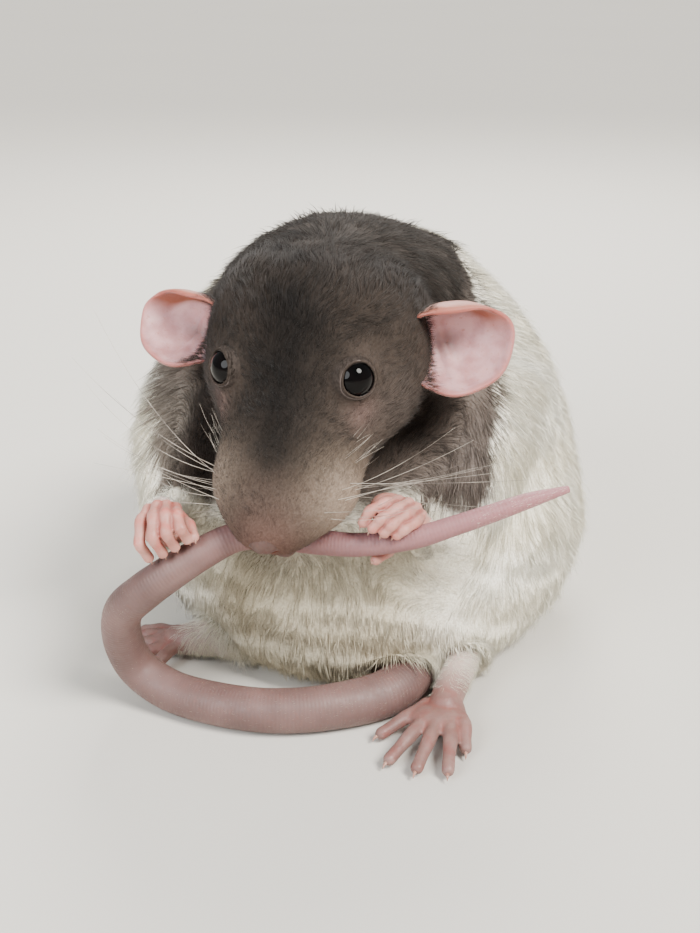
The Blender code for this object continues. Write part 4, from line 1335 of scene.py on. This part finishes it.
def number_tail(tail):
    """How far along the tail each vertex is, and how far round."""
    count = len(tail.data.vertices)
    ring = np.arange(count) // TAIL_SIDES
    co = coords(tail.data).reshape(-1, TAIL_SIDES, 3).mean(axis=1) / MM
    walked = np.concatenate([[0], np.cumsum(np.linalg.norm(np.diff(co, axis=0), axis=1))])
    set_attribute(tail.data, "ring", walked[ring])
    set_attribute(tail.data, "end", ring / ring.max())
    round_it = (np.arange(count) % TAIL_SIDES) / TAIL_SIDES
    set_attribute(tail.data, "turn", np.abs(round_it * 2 - 1))


def camera():
    """The photo's view: close, from the front and a little above."""
    data = bpy.data.cameras.new("camera")
    data.lens = 50.16
    data.sensor_width = 36.0
    data.clip_start, data.clip_end = 0.01, 10.0
    obj = bpy.data.objects.new("camera", data)
    obj.location = (-0.0015, -0.2484, 0.1265)
    obj.rotation_euler = (math.radians(68.0), 0.0, 0.0)
    bpy.context.scene.collection.objects.link(obj)
    bpy.context.scene.camera = obj


def area_light(name, place, size, power, tint, target=(-5, -20, 40)):
    """A soft round lamp that points at the rat."""
    data = bpy.data.lights.new(name, "AREA")
    data.shape = "DISK"
    data.size = size
    data.energy = power
    data.color = tint
    obj = bpy.data.objects.new(name, data)
    obj.location = Vector(place) * MM
    way = Vector(target) * MM - obj.location
    obj.rotation_euler = way.to_track_quat("-Z", "Y").to_euler()
    bpy.context.scene.collection.objects.link(obj)


def sun_light(place, spread, power, tint):
    """The key: a wide soft sun, so that the floor is lit as far as it shows."""
    data = bpy.data.lights.new("key", "SUN")
    data.angle = spread
    data.energy = power
    data.color = tint
    obj = bpy.data.objects.new("key", data)
    obj.rotation_euler = Vector(place).to_track_quat("Z", "Y").to_euler()
    bpy.context.scene.collection.objects.link(obj)


def studio():
    """A plain pale floor that runs back out of sight, and soft light."""
    bpy.ops.mesh.primitive_plane_add(size=40.0)
    floor = bpy.context.object
    floor.name = "floor"
    m = Paint("floor_plain")
    tone = m.mix(srgb(206, 202, 194), srgb(202, 198, 190), m.noise(3.0, 2.0))
    floor.data.materials.append(m.finish(tone, 0.9))
    world = bpy.data.worlds.new("world")
    world.use_nodes = True
    sky = world.node_tree.nodes["Background"].inputs
    sky["Color"].default_value = (0.90, 0.93, 0.96, 1)
    sky["Strength"].default_value = 0.40
    bpy.context.scene.world = world
    sun_light((300, -240, 440), math.radians(24), 6.9, (1.0, 0.97, 0.92))
    area_light("fill", (-300, -380, 300), 0.35, 3.4, (0.94, 0.97, 1.0))
    area_light("back", (60, 420, 460), 0.30, 4.6, (1.0, 0.98, 0.95))


def flesh_materials():
    """The skin's materials, one for each of its slots."""
    return [
        undercoat(),
        ear_shell(),
        bare_skin("paw_bare", srgb(196, 144, 132), srgb(170, 114, 102), srgb(186, 92, 80)),
        tail_scales(),
        lid_edge(),
        bare_skin("nose_bare", srgb(90, 62, 54), srgb(64, 43, 38), srgb(88, 50, 43)),
        # painted shade: the feet take a darker copy of the hands' bare skin
        bare_skin("foot_bare_shaded", srgb(136, 104, 97), srgb(112, 80, 74), srgb(126, 72, 66)),
    ]


def wet_eyes():
    """Round wet eyes in place of the solid ones."""
    eye_paint = wet_eye()
    for side, name in ((LEFT, "eye_left"), (RIGHT, "eye_right")):
        eye = ball(eye_place(side), (EYE_RADIUS,) * 3, frame_of=HEAD, segments=64)
        settle(eye, eye_paint)
        eye.name = name + "_wet"
        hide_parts(name)


def coat(tables):
    """The coat's pieces, each from its own seed."""
    share = 1.0
    body, tail = tables["body"], tables["tail"]
    pieces = [grow(f"coat_body_{i}", body, int(BODY_HAIRS * share), 100 + 10 * i, on_body,
                   lift=0.11, clump=6.0, gather=0.17, spike=True) for i in range(5)]
    pieces.append(grow("coat_guard", body, int(GUARD_HAIRS * share), 180, on_body, reach=1.2,
                       thick=1.1, lift=0.20, clump=3.0))
    pieces += [grow(f"coat_head_{i}", body, int(HEAD_HAIRS * share), 200 + 10 * i, on_head,
                    lift=0.22, clump=5.0, spike=True) for i in range(2)]
    pieces += [grow(f"coat_limb_{i}", limb_skin, int(LIMB_HAIRS * share), 230 + 10 * i, downy,
                    reach=0.50, thick=0.75, lift=0.22, clump=5.0, spike=True)
               for i, limb_skin in enumerate(tables["limbs"])]
    pieces.append(grow("coat_tail", tail, int(TAIL_HAIRS * share), 280, on_tail, reach=0.22,
                       thick=0.42, lift=0.26, clump=2.0, gather=0.1, spike=True,
                       ways=along_tail))
    for i, (ear_skin, side) in enumerate(zip(tables["ears"], (LEFT, RIGHT))):
        grows, ways = ear_root(side)
        pieces.append(grow(f"coat_ear_{i}", ear_skin, int(EAR_HAIRS * share), 290 + 10 * i,
                           grows, reach=0.6, thick=0.6, lift=0.25, clump=5.0, spike=True,
                           ways=ways))
    return pieces


def main():
    """The whole rat, its stage and its camera."""
    skin, nails, tables = flesh_skin(flesh_materials())
    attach(skin, "root")
    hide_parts(*FLESH, "ear_left", "ear_right", "hand_left", "hand_right",
                "foot_left", "foot_right", *(f"tail_{i}" for i in range(1, 9)))
    settle(nails, claw_horn())
    wet_eyes()
    settle(whiskers(), whisker_hair()).name = "whiskers"
    hair = fur()
    for piece in coat(tables):
        settle(piece, hair)
    studio()
    camera()


main()
